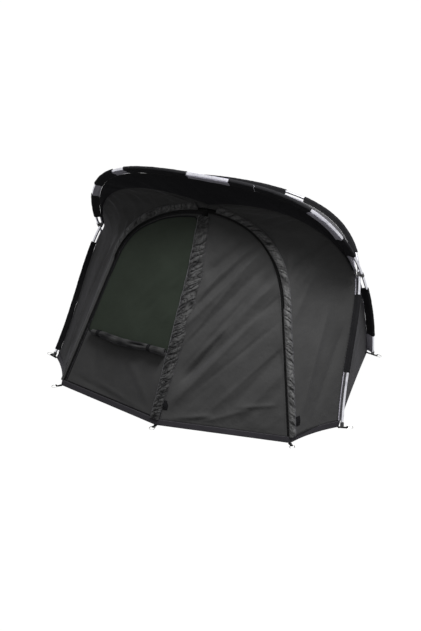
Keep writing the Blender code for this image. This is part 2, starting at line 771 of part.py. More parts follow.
def slip_under(edge, inner, tangent, down):
    """How far down its own slope a panel starts, to stay under a panel that meets it."""

    def square(direction):
        direction = direction - (direction * tangent).sum(1)[:, None] * tangent
        length = np.linalg.norm(direction, axis=1)
        return direction / length[:, None], length

    over, _ = square(inner - edge)
    under, share = square(down)
    wedge = np.sqrt(1 - np.clip((over * under).sum(1), 0.0, 1 - GAP) ** 2)
    return (CLOTH + 2 * SEWN_GAP) / wedge / share


def make_roof_and_brow():
    """The roof between the hoops and the brow that hangs under the front one."""
    reach = CROSSING_CLEARANCE
    front = FRONT.seam(FRONT.length - FRONT_CROSS + reach, FRONT_CROSS - reach, FRONT_DROP, ROOF_COLUMNS)
    rear = REAR.seam(REAR.length - REAR_CROSS + reach, REAR_CROSS - reach, REAR_DROP, ROOF_COLUMNS)
    roof = belly(faced(ruled(front, rear, np.linspace(0.0, 1.0, 5))), ROOF_SAG)
    roof = pull_in(roof, top=RIDGE_SETBACK)
    edge = front[1:-1]
    tangent = np.gradient(edge, axis=0)
    tangent /= np.linalg.norm(tangent, axis=1)[:, None]
    half = resample(brow_line(HOOP_SAMPLES)[round(HOOP_SAMPLES * BROW_START_SHARE):], ROOF_COLUMNS // 2)
    valley = np.concatenate((mirrored(half), half[::-1][1:]))
    down = (valley - edge) / np.linalg.norm(valley - edge, axis=1)[:, None]
    slip = slip_under(edge, roof[1, 1:-1], tangent, down)
    brow = ruled(valley - 2 * SEWN_GAP * down, edge + slip[:, None] * down,
                 np.linspace(0.0, 1.0, BROW_ROWS))
    sheet("roof_panel", roof, SHELL)
    normal = np.cross(np.gradient(brow, axis=1), np.gradient(brow, axis=0)).reshape(-1, 3).sum(0)
    brow = brow[:, ::-1] if normal[1] > 0 else brow
    sheet("brow", brow, SLEEVE_CLOTH, outward=True)


def make_back_and_sides():
    """The back panel and the two side panels below the crossings."""
    reach = CROSSING_CLEARANCE
    foot = FRONT.seam_arc(PANEL_FOOT, FRONT_DROP)
    rear_foot = REAR.seam_arc(PANEL_FOOT, REAR_DROP)
    leg = FRONT.seam(foot, FRONT.length - FRONT_CROSS - reach, FRONT_DROP, SIDE_ROWS)
    other_leg = REAR.seam(rear_foot, REAR.length - REAR_CROSS - reach, REAR_DROP, SIDE_ROWS)
    top = REAR.seam(REAR.length - REAR_CROSS + reach, REAR_CROSS - reach, REAR_DROP, ROOF_COLUMNS)
    edges = [hem_edge(k, PANEL_FOOT, BACK_EDGE_STEPS + 1)[:-1] for k in (3, 4, 5)]
    bottom = np.concatenate(edges + [corners(PANEL_FOOT)[6][None]])[::-1]
    back = faced(coons(bottom, top, leg, mirrored(leg)))
    back = pull_in(belly(back, BACK_SAG), top=RIDGE_SETBACK, left=RIDGE_SETBACK, right=RIDGE_SETBACK)
    sheet("back_panel", back, SHELL)
    for name, side in (("right_side_panel", 1.0), ("left_side_panel", -1.0)):
        shares = np.linspace(0.0, 1.0, 4)
        panel = ruled(mirrored(other_leg), mirrored(leg), shares).transpose(1, 0, 2)
        if side < 0:
            panel = mirrored(panel)
        panel = belly(faced(panel), SIDE_SAG)
        sheet(name, pull_in(panel, left=SIDE_SETBACK, right=SIDE_SETBACK), SHELL)


def arch(leaf):
    """Stations of a zip arch from the hem to the crown, with their directions into the leaf."""
    foot = leaf.foot + leaf.straight * leaf.hem_q(PANEL_FOOT) / leaf.straight[1]
    leg = np.linspace(foot, leaf.knee, LEG_STEPS + 1)
    curve = resample(leaf.curve, CURVE_STEPS + 1)
    stations = np.concatenate((leg, curve[1:]))
    stations[-1] += (GAP + COIL_DEPTH * abs(leaf.out[0])) * leaf.seam_across
    tangent = np.gradient(stations, axis=0)
    tangent[:LEG_STEPS] = leaf.straight
    tangent[-1] = -leaf.seam_across
    tangent /= np.linalg.norm(tangent, axis=1)[:, None]
    inward = np.stack((-tangent[:, 1], tangent[:, 0]), -1)
    inward[0] = (1 / inward[0][0], 0.0)
    return stations, inward


def seam_line(leaf, count=2):
    """Stations of the middle zip, from the hem to just below the arches."""
    foot = leaf.seam * leaf.hem_q(PANEL_FOOT) / leaf.seam[1]
    top = leaf.seam * (ARCH_CROWN - ZIP_HALF - GAP)
    stations = np.linspace(foot, top, count)
    inward = np.repeat(leaf.seam_across[None], count, axis=0)
    inward[0] = (1 / inward[0][0], 0.0)
    return stations, inward


def leaf_grid(leaf):
    """A leaf's panel between its zip tapes."""
    stations, inward = arch(leaf)
    edge = stations + (ZIP_HALF + GAP) * inward
    inner = ZIP_HALF + GAP
    far = edge @ leaf.seam_across
    share = (inner - far[-2]) / (far[-1] - far[-2])
    edge[-1] = edge[-2] + share * (edge[-1] - edge[-2])
    foot = leaf.seam * leaf.hem_q(PANEL_FOOT) / leaf.seam[1]
    low = foot + leaf.seam_across * inner
    low += leaf.seam * (foot[1] - low[1]) / leaf.seam[1]
    right = edge[:CORNER_STEP + 1]
    top = edge[CORNER_STEP:][::-1]
    left = np.linspace(low, edge[-1], len(right))
    bottom = np.linspace(low, edge[0], len(top))
    flat = coons(bottom, top, left, right)
    return flat


def on_leaf(leaf, flat, out=0.0):
    """Leaf coordinates as places in space."""
    flat = np.asarray(flat, float)
    out = np.broadcast_to(np.asarray(out, float), flat.shape[:-1])
    return leaf.origin + flat[..., :1] * leaf.p + flat[..., 1:] * leaf.q + out[..., None] * leaf.out


def ramp(value, start, end):
    """A smooth step from nothing to one."""
    t = np.clip((value - start) / (end - start), 0.0, 1.0)
    return t * t * (3 - 2 * t)


def make_right_leaf():
    """The right leaf's panel, with the folds that run up to its arch."""
    flat = leaf_grid(RIGHT)
    rows, columns = flat.shape[:2]
    flat = regrid(flat, np.linspace(0, rows - 1, 2 * rows - 1), np.linspace(0, columns - 1, 2 * columns - 1))
    v = np.linspace(0.0, 1.0, flat.shape[0])[:, None]
    u = np.linspace(0.0, 1.0, flat.shape[1])[None, :]
    across = flat[..., 1] * math.cos(FOLD_SLOPE) - flat[..., 0] * math.sin(FOLD_SLOPE)
    flap, edge = FOLD_START_SHARES, FOLD_EDGE_SHARES
    weight = ramp(u, *flap) * ramp(1 - u, *edge) * ramp(v, *edge) * ramp(1 - v, *edge)
    fold = FOLD_DEPTH * weight * (0.5 + 0.5 * np.cos(2 * math.pi * across / FOLD_PITCH))
    return sheet("right_leaf_panel", faced(on_leaf(RIGHT, flat, fold)), SHELL)


def make_left_leaf():
    """The left leaf's panel with its window opening, and the mesh in it."""
    flat = leaf_grid(LEFT)
    rows, columns = flat.shape[:2]
    high, side = WINDOW_EDGE_SHARES
    row_stops = [0, 2] + list(range(4, rows - 1)) + [rows - 1 - high, rows - 1]
    column_stops = [0, side] + list(range(1, columns - 1)) + [columns - 1 - side, columns - 1]
    grid = faced(on_leaf(LEFT, regrid(flat, row_stops, column_stops)))
    low = 2
    holes = {(j, i) for j in range(low, len(row_stops) - 2) for i in range(1, len(column_stops) - 2)}
    sheet("left_leaf_panel", grid, SHELL, holes=holes)
    window = grid[low:-1, 1:-1]
    window = pull_in(window, bottom=SEWN_GAP, top=SEWN_GAP, left=SEWN_GAP, right=SEWN_GAP)
    sheet("window_mesh", window, MESH, LIGHT_CLOTH)


def bar(name, rings, material):
    """A solid strip from a closed section at each station."""
    rings = np.asarray(rings, float)
    closed = np.concatenate((rings, rings[:, :1]), axis=1)
    bm = bmesh.new()
    add_grid(bm, closed)
    bmesh.ops.remove_doubles(bm, verts=bm.verts, dist=GAP / 6)
    bmesh.ops.holes_fill(bm, edges=bm.edges, sides=len(rings[0]))
    bmesh.ops.recalc_face_normals(bm, faces=bm.faces)
    return mesh_object(name, bm, material, smooth=False)


def tape(name, leaf, line, into, near=GAP / 2):
    """Half a zip: its flat tape and its coil. A positive side lies in the leaf."""
    stations, inward = line
    far = ZIP_HALF - GAP
    mid = CLOTH / 2
    section = [(near, -COIL_DEPTH), (near, COIL_RISE), (COIL_WIDTH, COIL_RISE),
               (COIL_WIDTH, -mid + TAPE_THICKNESS / 2), (far, -mid + TAPE_THICKNESS / 2),
               (far, -mid - TAPE_THICKNESS / 2), (COIL_WIDTH, -mid - TAPE_THICKNESS / 2),
               (COIL_WIDTH, -COIL_DEPTH)]
    stations = stations.copy()
    stations[0] += COIL_DEPTH / 2 * unit(stations[1] - stations[0])
    rings = [[leaf.place(*(station + into * d * normal), h) for d, h in section]
             for station, normal in zip(stations, inward)]
    return bar(name, rings, ZIP)


def wing_grid(leaf):
    """A wing from the zip arch to the hoop's leg, the crossing and the brow."""
    stations, inward = arch(leaf)
    inner = on_leaf(leaf, stations - (ZIP_HALF + WING_SETBACK) * inward)
    foot = REAR.seam_arc(PANEL_FOOT, REAR_DROP)
    leg = REAR.seam(REAR.length - foot, REAR_CROSS + CROSSING_CLEARANCE, REAR_DROP, LEG_STEPS + 1)
    brow = brow_line(CURVE_STEPS + 1)
    brow[0] += CROSSING_CLEARANCE * unit(brow[1] - brow[0])
    outer = np.concatenate((leg, brow[1:]))
    outer[-1] += np.array((GAP + COIL_DEPTH * abs(leaf.out[0]), 0.0, 0.0))
    if leaf is LEFT:
        outer = mirrored(outer)
    edge = hem_edge(1, PANEL_FOOT, HOOP_SAMPLES)
    edge = mirrored(edge) if leaf is LEFT else edge
    sag = edge - np.linspace(edge[0], edge[-1], HOOP_SAMPLES)
    rows = []
    for j, (a, b) in enumerate(zip(inner, outer)):
        fade = max(0.0, 1.0 - j / LEG_STEPS) ** 2
        width = np.linalg.norm(b - a)
        sewn = min(FLAP_WIDTH - ZIP_HALF, WING_REACH_SHARE * width) / width
        shares = np.concatenate(([0.0], sewn + (1 - sewn) * np.array(WING_SHARES)))
        bend = np.array([sag[round(share * (HOOP_SAMPLES - 1))] for share in shares])
        rows.append((1 - shares)[:, None] * a + shares[:, None] * b + fade * bend)
    grid = np.array(rows)
    v = np.sin(np.linspace(0.0, math.pi, len(rows)))[:, None]
    u = np.sin(math.pi * np.concatenate(([0.0], WING_SHARES)))[None, :]
    normal = wing_normals(grid)
    return grid - (WING_SAG * u * v)[..., None] * normal


def wing_normals(grid):
    """Outward directions over a wing's grid."""
    normal = np.cross(np.gradient(grid, axis=1), np.gradient(grid, axis=0))
    normal /= np.maximum(np.linalg.norm(normal, axis=-1), GAP ** 3)[..., None]
    facing = (normal * (grid - INSIDE)).sum(-1)
    return normal * np.where(facing.sum() < 0, -1.0, 1.0)


def make_wing(leaf, name):
    """A wing panel with its edges set back from its seams."""
    grid = wing_grid(leaf)
    trimmed = grid.copy()
    width = np.linalg.norm(grid[:, -1] - grid[:, -2], axis=1)[:, None]
    step = (grid[:, -2] - grid[:, -1]) / width
    trimmed[:, -1] += np.minimum(RIDGE_SETBACK, width / 4) * step
    trimmed[0] += SEWN_GAP * (grid[1] - grid[0]) / np.linalg.norm(grid[1] - grid[0], axis=1)[:, None]
    sheet(name, faced(trimmed), SHELL)
    return grid


def make_arch_flap(name, leaf, grid, ruche_from):
    """The flap sewn to a wing beside its zip arch, gathered along its length."""
    stations, inward = arch(leaf)
    normals = wing_normals(grid)
    steps = np.linalg.norm(np.diff(stations, axis=0), axis=1)
    along = np.concatenate(([0.0], np.cumsum(steps)))
    end = along[-1] - FLAP_CROWN_STOP
    count = round(end / RUCHE_STEP) + 1
    arcs = np.unique(np.concatenate((np.linspace(0.0, end, count), along[along < end])))
    keep_arcs = [arcs[0]]
    for arc in arcs[1:]:
        if arc - keep_arcs[-1] > RUCHE_STEP / 4:
            keep_arcs.append(arc)
        elif np.min(np.abs(along - arc)) < GAP ** 2:
            keep_arcs[-1] = arc
    rows = []
    for arc in keep_arcs:
        r = min(np.interp(arc, along, np.arange(len(along))), len(along) - 1.0)
        j = min(int(r), len(along) - 2)
        f = r - j
        centre = (1 - f) * stations[j] + f * stations[j + 1]
        into = unit((1 - f) * inward[j] + f * inward[j + 1])
        line = (1 - f) * grid[j] + f * grid[j + 1]
        normal = unit((1 - f) * normals[j, 0] + f * normals[j + 1, 0])
        sewn_normal = unit((1 - f) * normals[j, 1] + f * normals[j + 1, 1])
        sewn = line[1]
        width = np.linalg.norm(sewn - line[0])
        wave = 0.5 + 0.5 * math.sin(2 * math.pi * arc / RUCHE_PITCH)
        wave *= RUCHE_DEPTH * ramp(arc / along[-1], *ruche_from)
        narrow = min(1.0, width / (FLAP_WIDTH - ZIP_HALF))
        rise = FLAP_SEWN_RISE + (FLAP_RISE - FLAP_SEWN_RISE) * narrow
        out = leaf.out
        past = arc - along[LEG_STEPS]
        stand = FLAP_STANDOFF * ramp(past, -RUCHE_STEP, 0.0) * (1 - ramp(past, *STANDOFF_LENGTHS))
        rows.append([
            leaf.place(*(centre - (2 * GAP + stand) * into)) + (COIL_RISE + rise) * out,
            line[0] + (rise + COIL_RISE + wave) * unit(out + normal),
            (line[0] + sewn) / 2 + (rise + wave) * sewn_normal,
            sewn + FLAP_SEWN_RISE * sewn_normal,
        ])
    grid = np.array(rows)
    return sheet(name, faced(grid), SHELL, LIGHT_CLOTH, outward=True)


def centre_flap_width(share):
    """Width of the middle flap at a share of its length, from the foot up."""
    return CENTRE_FLAP_WIDTH * np.interp(share, *zip(*CENTRE_FLAP_SHARES))


def centre_flap_ends():
    """Foot and top of the middle flap on the plane of the right leaf."""
    foot = RIGHT.seam * RIGHT.hem_q(PANEL_FOOT) / RIGHT.seam[1]
    return foot, RIGHT.seam * (ARCH_CROWN - CENTRE_FLAP_STOP)


def make_centre_flap():
    """The flap sewn to the right leaf over the middle zip."""
    foot, top = centre_flap_ends()
    length = np.linalg.norm(top - foot)
    count = round(length / RUCHE_STEP) + 1
    rows = []
    for share in np.linspace(0.0, 1.0, count):
        centre = foot + share * (top - foot)
        width = centre_flap_width(share)
        wave = RUCHE_DEPTH * (0.5 + 0.5 * math.sin(2 * math.pi * share * length / RUCHE_PITCH))
        wave *= width / CENTRE_FLAP_WIDTH
        heights = (FLAP_RISE, FLAP_RISE + wave, FLAP_RISE + wave, FLAP_SEWN_RISE)
        offsets = (2 * GAP, width / 3, 2 * width / 3, width)
        rows.append([RIGHT.place(*(centre + d * RIGHT.seam_across), h) for d, h in zip(offsets, heights)])
    return sheet("centre_flap", faced(np.array(rows)), SHELL, LIGHT_CLOTH, outward=True)


def plate(name, corners_grid):
    """A small webbing tab lying on the cloth."""
    return sheet(name, faced(corners_grid), WEBBING, TAB_THICKNESS, outward=True)


def make_tabs(right_wing, left_wing):
    """Pull tabs beside the foot of each flap."""
    low = RIGHT.seam * RIGHT.hem_q(TAB_HEIGHT) / RIGHT.seam[1]
    foot, top = centre_flap_ends()
    head = np.linalg.norm(low - foot) + TAB_LENGTH
    near = centre_flap_width(head / np.linalg.norm(top - foot)) + TAB_MARGIN
    spots = np.array([[low + d * RIGHT.seam_across + s * RIGHT.seam for d in (near, near + TAB_WIDTH)]
                      for s in (0.0, TAB_LENGTH)])
    centre_tab = plate("centre_flap_tab", on_leaf(RIGHT, spots, SEWN_GAP))
    for name, grid, leaf in (("right_flap_tab", right_wing, RIGHT), ("left_flap_tab", left_wing, LEFT)):
        normals = wing_normals(grid)
        rows = []
        step = np.linalg.norm(grid[1, 0] - grid[0, 0])
        for s in (0.0, TAB_LENGTH):
            r = TAB_LEG_SHARE * (TAB_HEIGHT - PANEL_FOOT) / step + s / step
            j = int(r)
            line = (1 - r + j) * grid[j] + (r - j) * grid[j + 1]
            full = np.concatenate(([0.0], np.cumsum(np.linalg.norm(np.diff(line, axis=0), axis=1))))
            row = []
            for d in (FLAP_WIDTH - ZIP_HALF + TAB_MARGIN, FLAP_WIDTH - ZIP_HALF + TAB_MARGIN + TAB_WIDTH):
                place = np.array([np.interp(d, full, line[:, k]) for k in range(3)])
                row.append(place + FLAP_SEWN_RISE * normals[0, 1])
            rows.append(row)
        plate(name, np.array(rows))
    return centre_tab


def make_roll():
    """The rolled storm cover and the two straps that hold it up."""
    ends = np.array(ROLL_ENDS)
    lift = ROLL_RADIUS * STRAP_FULLNESS + STRAP_SLACK + STRAP_THICKNESS + GAP
    lift = max(lift, ROLL_RADIUS + GAP)
    places = [LEFT.place(*(ends[0] + share * (ends[1] - ends[0])), lift) for share in ROLL_SHARES]
    made = [tube("storm_cover_roll", places, ROLL_RADIUS, SHELL, resolution=3, radii=ROLL_FULLNESS)]
    axis = unit(places[-1] - places[0])
    turn = Matrix(np.column_stack((np.cross(axis, LEFT.out), LEFT.out, axis)).tolist()).to_4x4()
    inner = ROLL_RADIUS * STRAP_FULLNESS + STRAP_SLACK
    for name, share in zip(("outer_strap", "inner_strap"), STRAP_SHARES):
        place = places[0] + share * (places[-1] - places[0])
        angles = np.linspace(0.0, 2 * math.pi, 17)[:-1]
        rows = []
        for z in (STRAP_WIDTH / 2, -STRAP_WIDTH / 2):
            rows.append([place + inner * (math.cos(a) * np.cross(axis, LEFT.out) + math.sin(a) * LEFT.out)
                         + z * axis for a in np.append(angles, angles[0])])
        strap = sheet(name, np.array(rows), WEBBING, STRAP_THICKNESS, outward=True, weld=True)
        made.append(strap)
    return made


def make_ring(name, place, along, outward_axis, width, length, wire, material):
    """A wire loop whose straight bar lies on its hinge line at the object's origin."""
    half = width / 2
    reach = length - half
    points = [(-half, 0.0, 0.0), (half, 0.0, 0.0)]
    points += [(half * math.cos(a), reach + half * math.sin(a), 0.0) for a in np.linspace(0.0, math.pi, 6)]
    ring = tube(name, points, wire, material, cyclic=True)
    x, y = unit(along), unit(outward_axis)
    turn = Matrix(np.column_stack((x, y, np.cross(x, y))).tolist()).to_4x4()
    ring.matrix_world = Matrix.Translation(place) @ turn
    return ring


def make_peg_points(band):
    """Webbing loops sewn to the hem at each corner, and the ring in each."""
    names = ("front", "right_zip", "right_front", "right_rear", "back_right", "back_left",
             "left_rear", "left_front", "left_zip")
    spots = corners(0.0)
    feet = {2: (REAR, 1.0), 3: (FRONT, 1.0), 6: (FRONT, -1.0), 7: (REAR, -1.0)}
    turns = np.linspace(-math.pi / 2, EYE_WRAP - math.pi / 2, 10)
    for k, name in enumerate(names):
        corner = spots[k]
        before, after = unit(corner - spots[k - 1]), unit(spots[(k + 1) % len(spots)] - corner)
        outward_dir = unit(np.cross(before + after, (0.0, 0.0, 1.0)))
        reach = WEB_REACH
        if k in feet:
            hoop, side = feet[k]
            tip = hoop.at(tip_start(hoop)) * np.array((-side, 1.0, 0.0))
            outward_dir = unit(tip - corner * np.array((1.0, 1.0, 0.0)))
            reach += np.linalg.norm((tip - corner)[:2])
        eye = WEB_THICKNESS + EYE_RADIUS
        path = [(-WEB_ROOT, WEB_THICKNESS)]
        path += [(reach + EYE_RADIUS * math.cos(a), eye + EYE_RADIUS * math.sin(a)) for a in turns]
        sideways = np.cross((0.0, 0.0, 1.0), outward_dir)
        rows = []
        for across in (-WEB_WIDTH / 2, WEB_WIDTH / 2):
            rows.append([corner + r * outward_dir + z * UP + across * sideways for r, z in path])
        grid = np.array(rows)
        up = np.cross(grid[0, 1] - grid[0, 0], grid[1, 0] - grid[0, 0])[2]
        grid = grid if up > 0 else grid[::-1]
        loop = sheet("peg_loop", grid, WEBBING, WEB_THICKNESS)
        fuse(band, loop)
        place = corner + reach * outward_dir + np.array((0.0, 0.0, eye))
        make_ring(f"{name}_ring", place, -sideways, outward_dir, RING_WIDTH, RING_LENGTH, RING_WIRE, STEEL)


def make_slider(name, leaf, base, direction, across):
    """A zip slider behind the coil on the half that carries it, with its ring pull."""
    gap = ZIP_HALF / 2
    place = base + (gap - GAP) * across - (COIL_DEPTH + GAP + SLIDER_DEPTH / 2) * leaf.out
    turn = Matrix(np.column_stack((across, direction, np.cross(across, direction))).tolist()).to_4x4()
    inward = -leaf.out
    bm = bmesh.new()
    bmesh.ops.create_cube(bm, size=1.0)
    bmesh.ops.scale(bm, verts=bm.verts, vec=(SLIDER_WIDTH, SLIDER_LENGTH, SLIDER_DEPTH))
    bmesh.ops.bevel(bm, geom=bm.edges[:], offset=SLIDER_CORNER, segments=1, profile=0.5,
                    affect="EDGES", material=-1)
    body = mesh_object(name, bm, PLASTIC, smooth=False)
    body.matrix_world = Matrix.Translation(place) @ turn
    sign = 1.0 if np.cross(across, direction).dot(inward) > 0 else -1.0
    depth = sign * (SLIDER_DEPTH / 2 + LUG_BORE + LUG_LIFT)
    eye_place, eye_axis = (0.0, 0.0, depth), (1.0, 0.0, 0.0)
    lug = tool_object(name + "_lug", round_bar(eye_place, eye_axis, LUG_RADIUS, LUG_LENGTH))
    bore = tool_object(name + "_bore", round_bar(eye_place, eye_axis, LUG_BORE, 3 * LUG_LENGTH))
    for tool in (lug, bore):
        tool.matrix_world = Matrix.Translation(place) @ turn
    cut(body, lug, "UNION")
    cut(body, bore, "DIFFERENCE")
    eye = place + (SLIDER_DEPTH / 2 + LUG_BORE + LUG_LIFT) * inward
    pull = make_ring(name.replace("slider", "pull"), eye, across, -direction, PULL_WIDTH, PULL_LENGTH,
                     PULL_WIRE, STEEL)
    return body, pull


def carry(empty_name, place, pieces, parent=None):
    """Hang pieces on an empty that stands on their joint's axis."""
    empty = bpy.data.objects.new(empty_name, None)
    empty.location = place
    PARTS.objects.link(empty)
    bpy.context.view_layer.update()
    for piece in pieces:
        piece.parent = empty
        piece.matrix_parent_inverse = Matrix.Translation(place).inverted()
    return empty


make_poles("front", FRONT, FRONT_SECTIONS)
make_poles("rear", REAR, REAR_SECTIONS)
make_clips()
make_sleeves("front", FRONT, FRONT_CROSS, FRONT_SLEEVE_SHARES, FRONT_DROP)
make_sleeves("rear", REAR, REAR_CROSS, REAR_SLEEVE_SHARES, REAR_DROP)
band = make_hem_and_floor()
make_peg_points(band)
make_roof_and_brow()
make_back_and_sides()
right_wing = make_wing(RIGHT, "right_wing")
left_wing = make_wing(LEFT, "left_wing")
make_arch_flap("right_arch_flap", RIGHT, right_wing, RIGHT_RUCHE_SHARES)
make_arch_flap("left_arch_flap", LEFT, left_wing, LEFT_RUCHE_SHARES)
centre_tab = make_tabs(right_wing, left_wing)
tape("right_arch_wing_tape", RIGHT, arch(RIGHT), -1.0)
tape("left_arch_wing_tape", LEFT, arch(LEFT), -1.0)
right_pieces = [
    make_right_leaf(), make_centre_flap(), centre_tab,
    tape("right_arch_leaf_tape", RIGHT, arch(RIGHT), 1.0),
    tape("centre_right_tape", RIGHT, seam_line(RIGHT), 1.0, CENTRE_SPLIT),
]
make_left_leaf()
left_pieces = [PARTS.objects["left_leaf_panel"], PARTS.objects["window_mesh"]] + make_roll()
left_pieces += [tape("left_arch_leaf_tape", LEFT, arch(LEFT), 1.0),
                tape("centre_left_tape", LEFT, seam_line(LEFT), 1.0, CENTRE_SPLIT)]
for name, leaf, pieces in (("right_leaf_axis", RIGHT, right_pieces), ("left_leaf_axis", LEFT, left_pieces)):
    foot = leaf.foot + leaf.straight * leaf.hem_q(PANEL_FOOT) / leaf.straight[1]
    place = leaf.place(*foot, COIL_RISE)
    carry(name, place, pieces)
centre = LEFT.place(*(LEFT.seam * SLIDER_START))
make_slider("centre_slider", LEFT, centre, LEFT.place(*LEFT.seam) - LEFT.place(0.0, 0.0),
            LEFT.place(*LEFT.seam_across) - LEFT.place(0.0, 0.0))
for name, leaf in (("right_arch_slider", RIGHT), ("left_arch_slider", LEFT)):
    start = leaf.foot + leaf.straight * SLIDER_START
    outward_dir = np.array((leaf.straight[1], -leaf.straight[0]))
    make_slider(name, leaf, leaf.place(*start), leaf.place(*leaf.straight) - leaf.place(0.0, 0.0),
                leaf.place(*outward_dir) - leaf.place(0.0, 0.0))
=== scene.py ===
# %% [markdown]
# # A two-hoop bivvy, dressed in cloth
# This shelter is a sewn shell that hangs from two crossing aluminium hoops.
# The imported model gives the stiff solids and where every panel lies. Each
# panel of cloth is made again here on the same seams, finer, with the folds,
# gathers and stitches that cloth has. The poles are turned to smooth curves,
# and sliders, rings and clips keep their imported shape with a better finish.

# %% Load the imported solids
import math
from contextlib import contextmanager
from functools import partial

import bmesh
import bpy
import numpy as np
from mathutils import Matrix, Vector


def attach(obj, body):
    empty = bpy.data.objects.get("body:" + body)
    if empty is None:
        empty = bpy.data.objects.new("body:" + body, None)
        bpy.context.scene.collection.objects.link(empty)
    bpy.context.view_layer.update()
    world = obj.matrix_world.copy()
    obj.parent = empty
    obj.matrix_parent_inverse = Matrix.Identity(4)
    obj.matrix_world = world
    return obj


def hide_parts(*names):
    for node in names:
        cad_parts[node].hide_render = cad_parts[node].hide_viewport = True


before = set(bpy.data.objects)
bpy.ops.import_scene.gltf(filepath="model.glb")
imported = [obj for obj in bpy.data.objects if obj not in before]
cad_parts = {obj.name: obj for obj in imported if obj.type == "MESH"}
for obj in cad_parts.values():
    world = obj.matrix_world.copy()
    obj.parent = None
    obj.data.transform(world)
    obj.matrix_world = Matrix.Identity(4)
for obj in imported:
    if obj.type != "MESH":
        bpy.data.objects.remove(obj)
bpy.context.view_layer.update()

# %% [markdown]
# ## The shelter's own sizes
# Everything is in metres, with the front towards -Y and the ground at z = 0.
# These are the values that the solids were drawn from, so cloth made from
# them lies where its solid lies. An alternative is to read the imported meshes
# back, but a seam that is a formula stays smooth at any fineness. A hoop is
# told by its foot, its lean, its height up that lean and three pulls on its
# curve, and a sleeve by the shares of its hoop where it starts and ends.

# %% Sizes of the footprint, the leaves and the hoops
DOOR_POINT_Y = -0.98
RIGHT_LEAF_WIDTH, LEFT_LEAF_WIDTH = 0.841, 0.805
LEAF_SPLAY, LEAF_LEAN = math.radians(12.7), math.radians(29.05)
REAR_CORNER_X, REAR_CORNER_Y, REAR_CORNER_RISE = 0.55, 0.96, 0.018
HEM_HEIGHT, HEM_FOOT, PANEL_FOOT = 0.030, 0.0014, 0.0308
HEM_SAGS = (0.0, 0.020, 0.006, 0.012, 0.012, 0.012, 0.006, 0.020, 0.0)
FRONT_HOOP = (0.929, 0.651, math.radians(-37.2), 1.855, 0.200, 0.974, 0.679)
REAR_HOOP = (1.050, -0.472, math.radians(29.4), 1.442, -0.155, 0.545, 1.155)
FRONT_DROP, REAR_DROP = 0.046, 0.026
POLE_RADIUS, SLEEVE_RADIUS = 0.009, 0.0118
CLIP_LENGTH, CROSSING_CLEARANCE = 0.030, 0.012
TIP_RADIUS, TIP_GAP, TIP_COLLAR, SECTIONS = 0.012, 0.0028, 0.020, 5
ZIP_HALF, ZIP_GAP, ARCH_CROWN = 0.014, 0.0003, 1.380
FLAP_WIDTH, CENTRE_FLAP_WIDTH = 0.052, 0.070
CENTRE_FLAP_SHARES = ((0.0, 0.14), (0.07, 0.17), (0.27, 0.55), (0.50, 0.90), (0.72, 1.0), (1.0, 0.45))
LEG_STEPS, CURVE_STEPS, CORNER_STEP = 9, 12, 13
ROOF_SAG, BACK_SAG, SIDE_SAG, WING_SAG = 0.006, 0.022, 0.008, 0.010
FRONT_SLEEVE_SHARES = (
    (0.058, 0.181), (0.236, 0.292), (0.322, 0.372), (0.394, 0.485), (0.541, 0.5732),
    (0.5738, 0.647), (0.708, 0.744), (0.819, 0.942),
)
REAR_SLEEVE_SHARES = ((0.014, 0.201), (0.266, 0.389), (0.422, 0.578), (0.611, 0.734), (0.799, 0.917))
INSIDE = np.array((0.0, 0.0, HEM_HEIGHT))
LEAST_SHARE = 0.31
print("footprint", 2 * REAR_HOOP[0], "by", REAR_CORNER_Y - DOOR_POINT_Y)

# %% [markdown]
# ## Lines that cloth hangs from
# A seam is a smooth line, and a panel is stretched between four of them. The
# small helpers below give a unit direction, a Bezier line, the same line cut
# into even steps, and a patch between four edges (a Coons patch).

# %% Helpers for lines
def unit(vector):
    """The same direction at length one, for one vector or a table of them."""
    vector = np.asarray(vector, float)
    return vector / np.maximum(np.linalg.norm(vector, axis=-1, keepdims=True), 1e-12)


def bezier(points, count=600):
    """Places along a cubic Bezier line."""
    t = np.linspace(0.0, 1.0, count)[:, None]
    a, b, c, d = (np.asarray(p, float) for p in points)
    return (1 - t) ** 3 * a + 3 * (1 - t) ** 2 * t * b + 3 * (1 - t) * t ** 2 * c + t ** 3 * d


def lengths(points):
    """How far along a line each of its places is."""
    return np.concatenate(([0.0], np.cumsum(np.linalg.norm(np.diff(points, axis=0), axis=1))))


def read_at(where, along, table):
    """A table of places, read between its rows."""
    return np.stack([np.interp(where, along, column) for column in table.T], -1)


def resample(points, count):
    """A line cut into even steps."""
    along = lengths(points)
    return read_at(np.linspace(0.0, along[-1], count), along, points)


def ramp(value, start, end):
    """A smooth step from nothing to one."""
    t = np.clip((value - start) / (end - start), 0.0, 1.0)
    return t * t * (3 - 2 * t)


print("a ramp at its quarters", [round(float(ramp(t / 4, 0.0, 1.0)), 3) for t in range(5)])

# %% Helpers for patches
def patch(bottom, top, left, right):
    """Cloth stretched between four edges."""
    u = np.linspace(0.0, 1.0, len(bottom))[None, :, None]
    v = np.linspace(0.0, 1.0, len(left))[:, None, None]
    low = (1 - u) * bottom[0] + u * bottom[-1]
    high = (1 - u) * top[0] + u * top[-1]
    return ((1 - v) * bottom[None] + v * top[None] + (1 - u) * left[:, None] + u * right[:, None]
            - (1 - v) * low - v * high)


def on_side(points, side):
    """Places as they are for the right side, or mirrored for the left."""
    return np.asarray(points) * np.array((1.0 if side > 0 else -1.0, 1.0, 1.0))


def mirrored(points):
    """The same places on the other side of the shelter."""
    return on_side(points, -1.0)


def ruled(first, last, count):
    """Rows of cloth from one line to another."""
    share = np.linspace(0.0, 1.0, count)[:, None, None]
    return (1 - share) * first[None] + share * last[None]


def raw_normals(grid):
    """The direction square to each place of a patch, not yet of length one."""
    return np.cross(np.gradient(grid, axis=1), np.gradient(grid, axis=0))


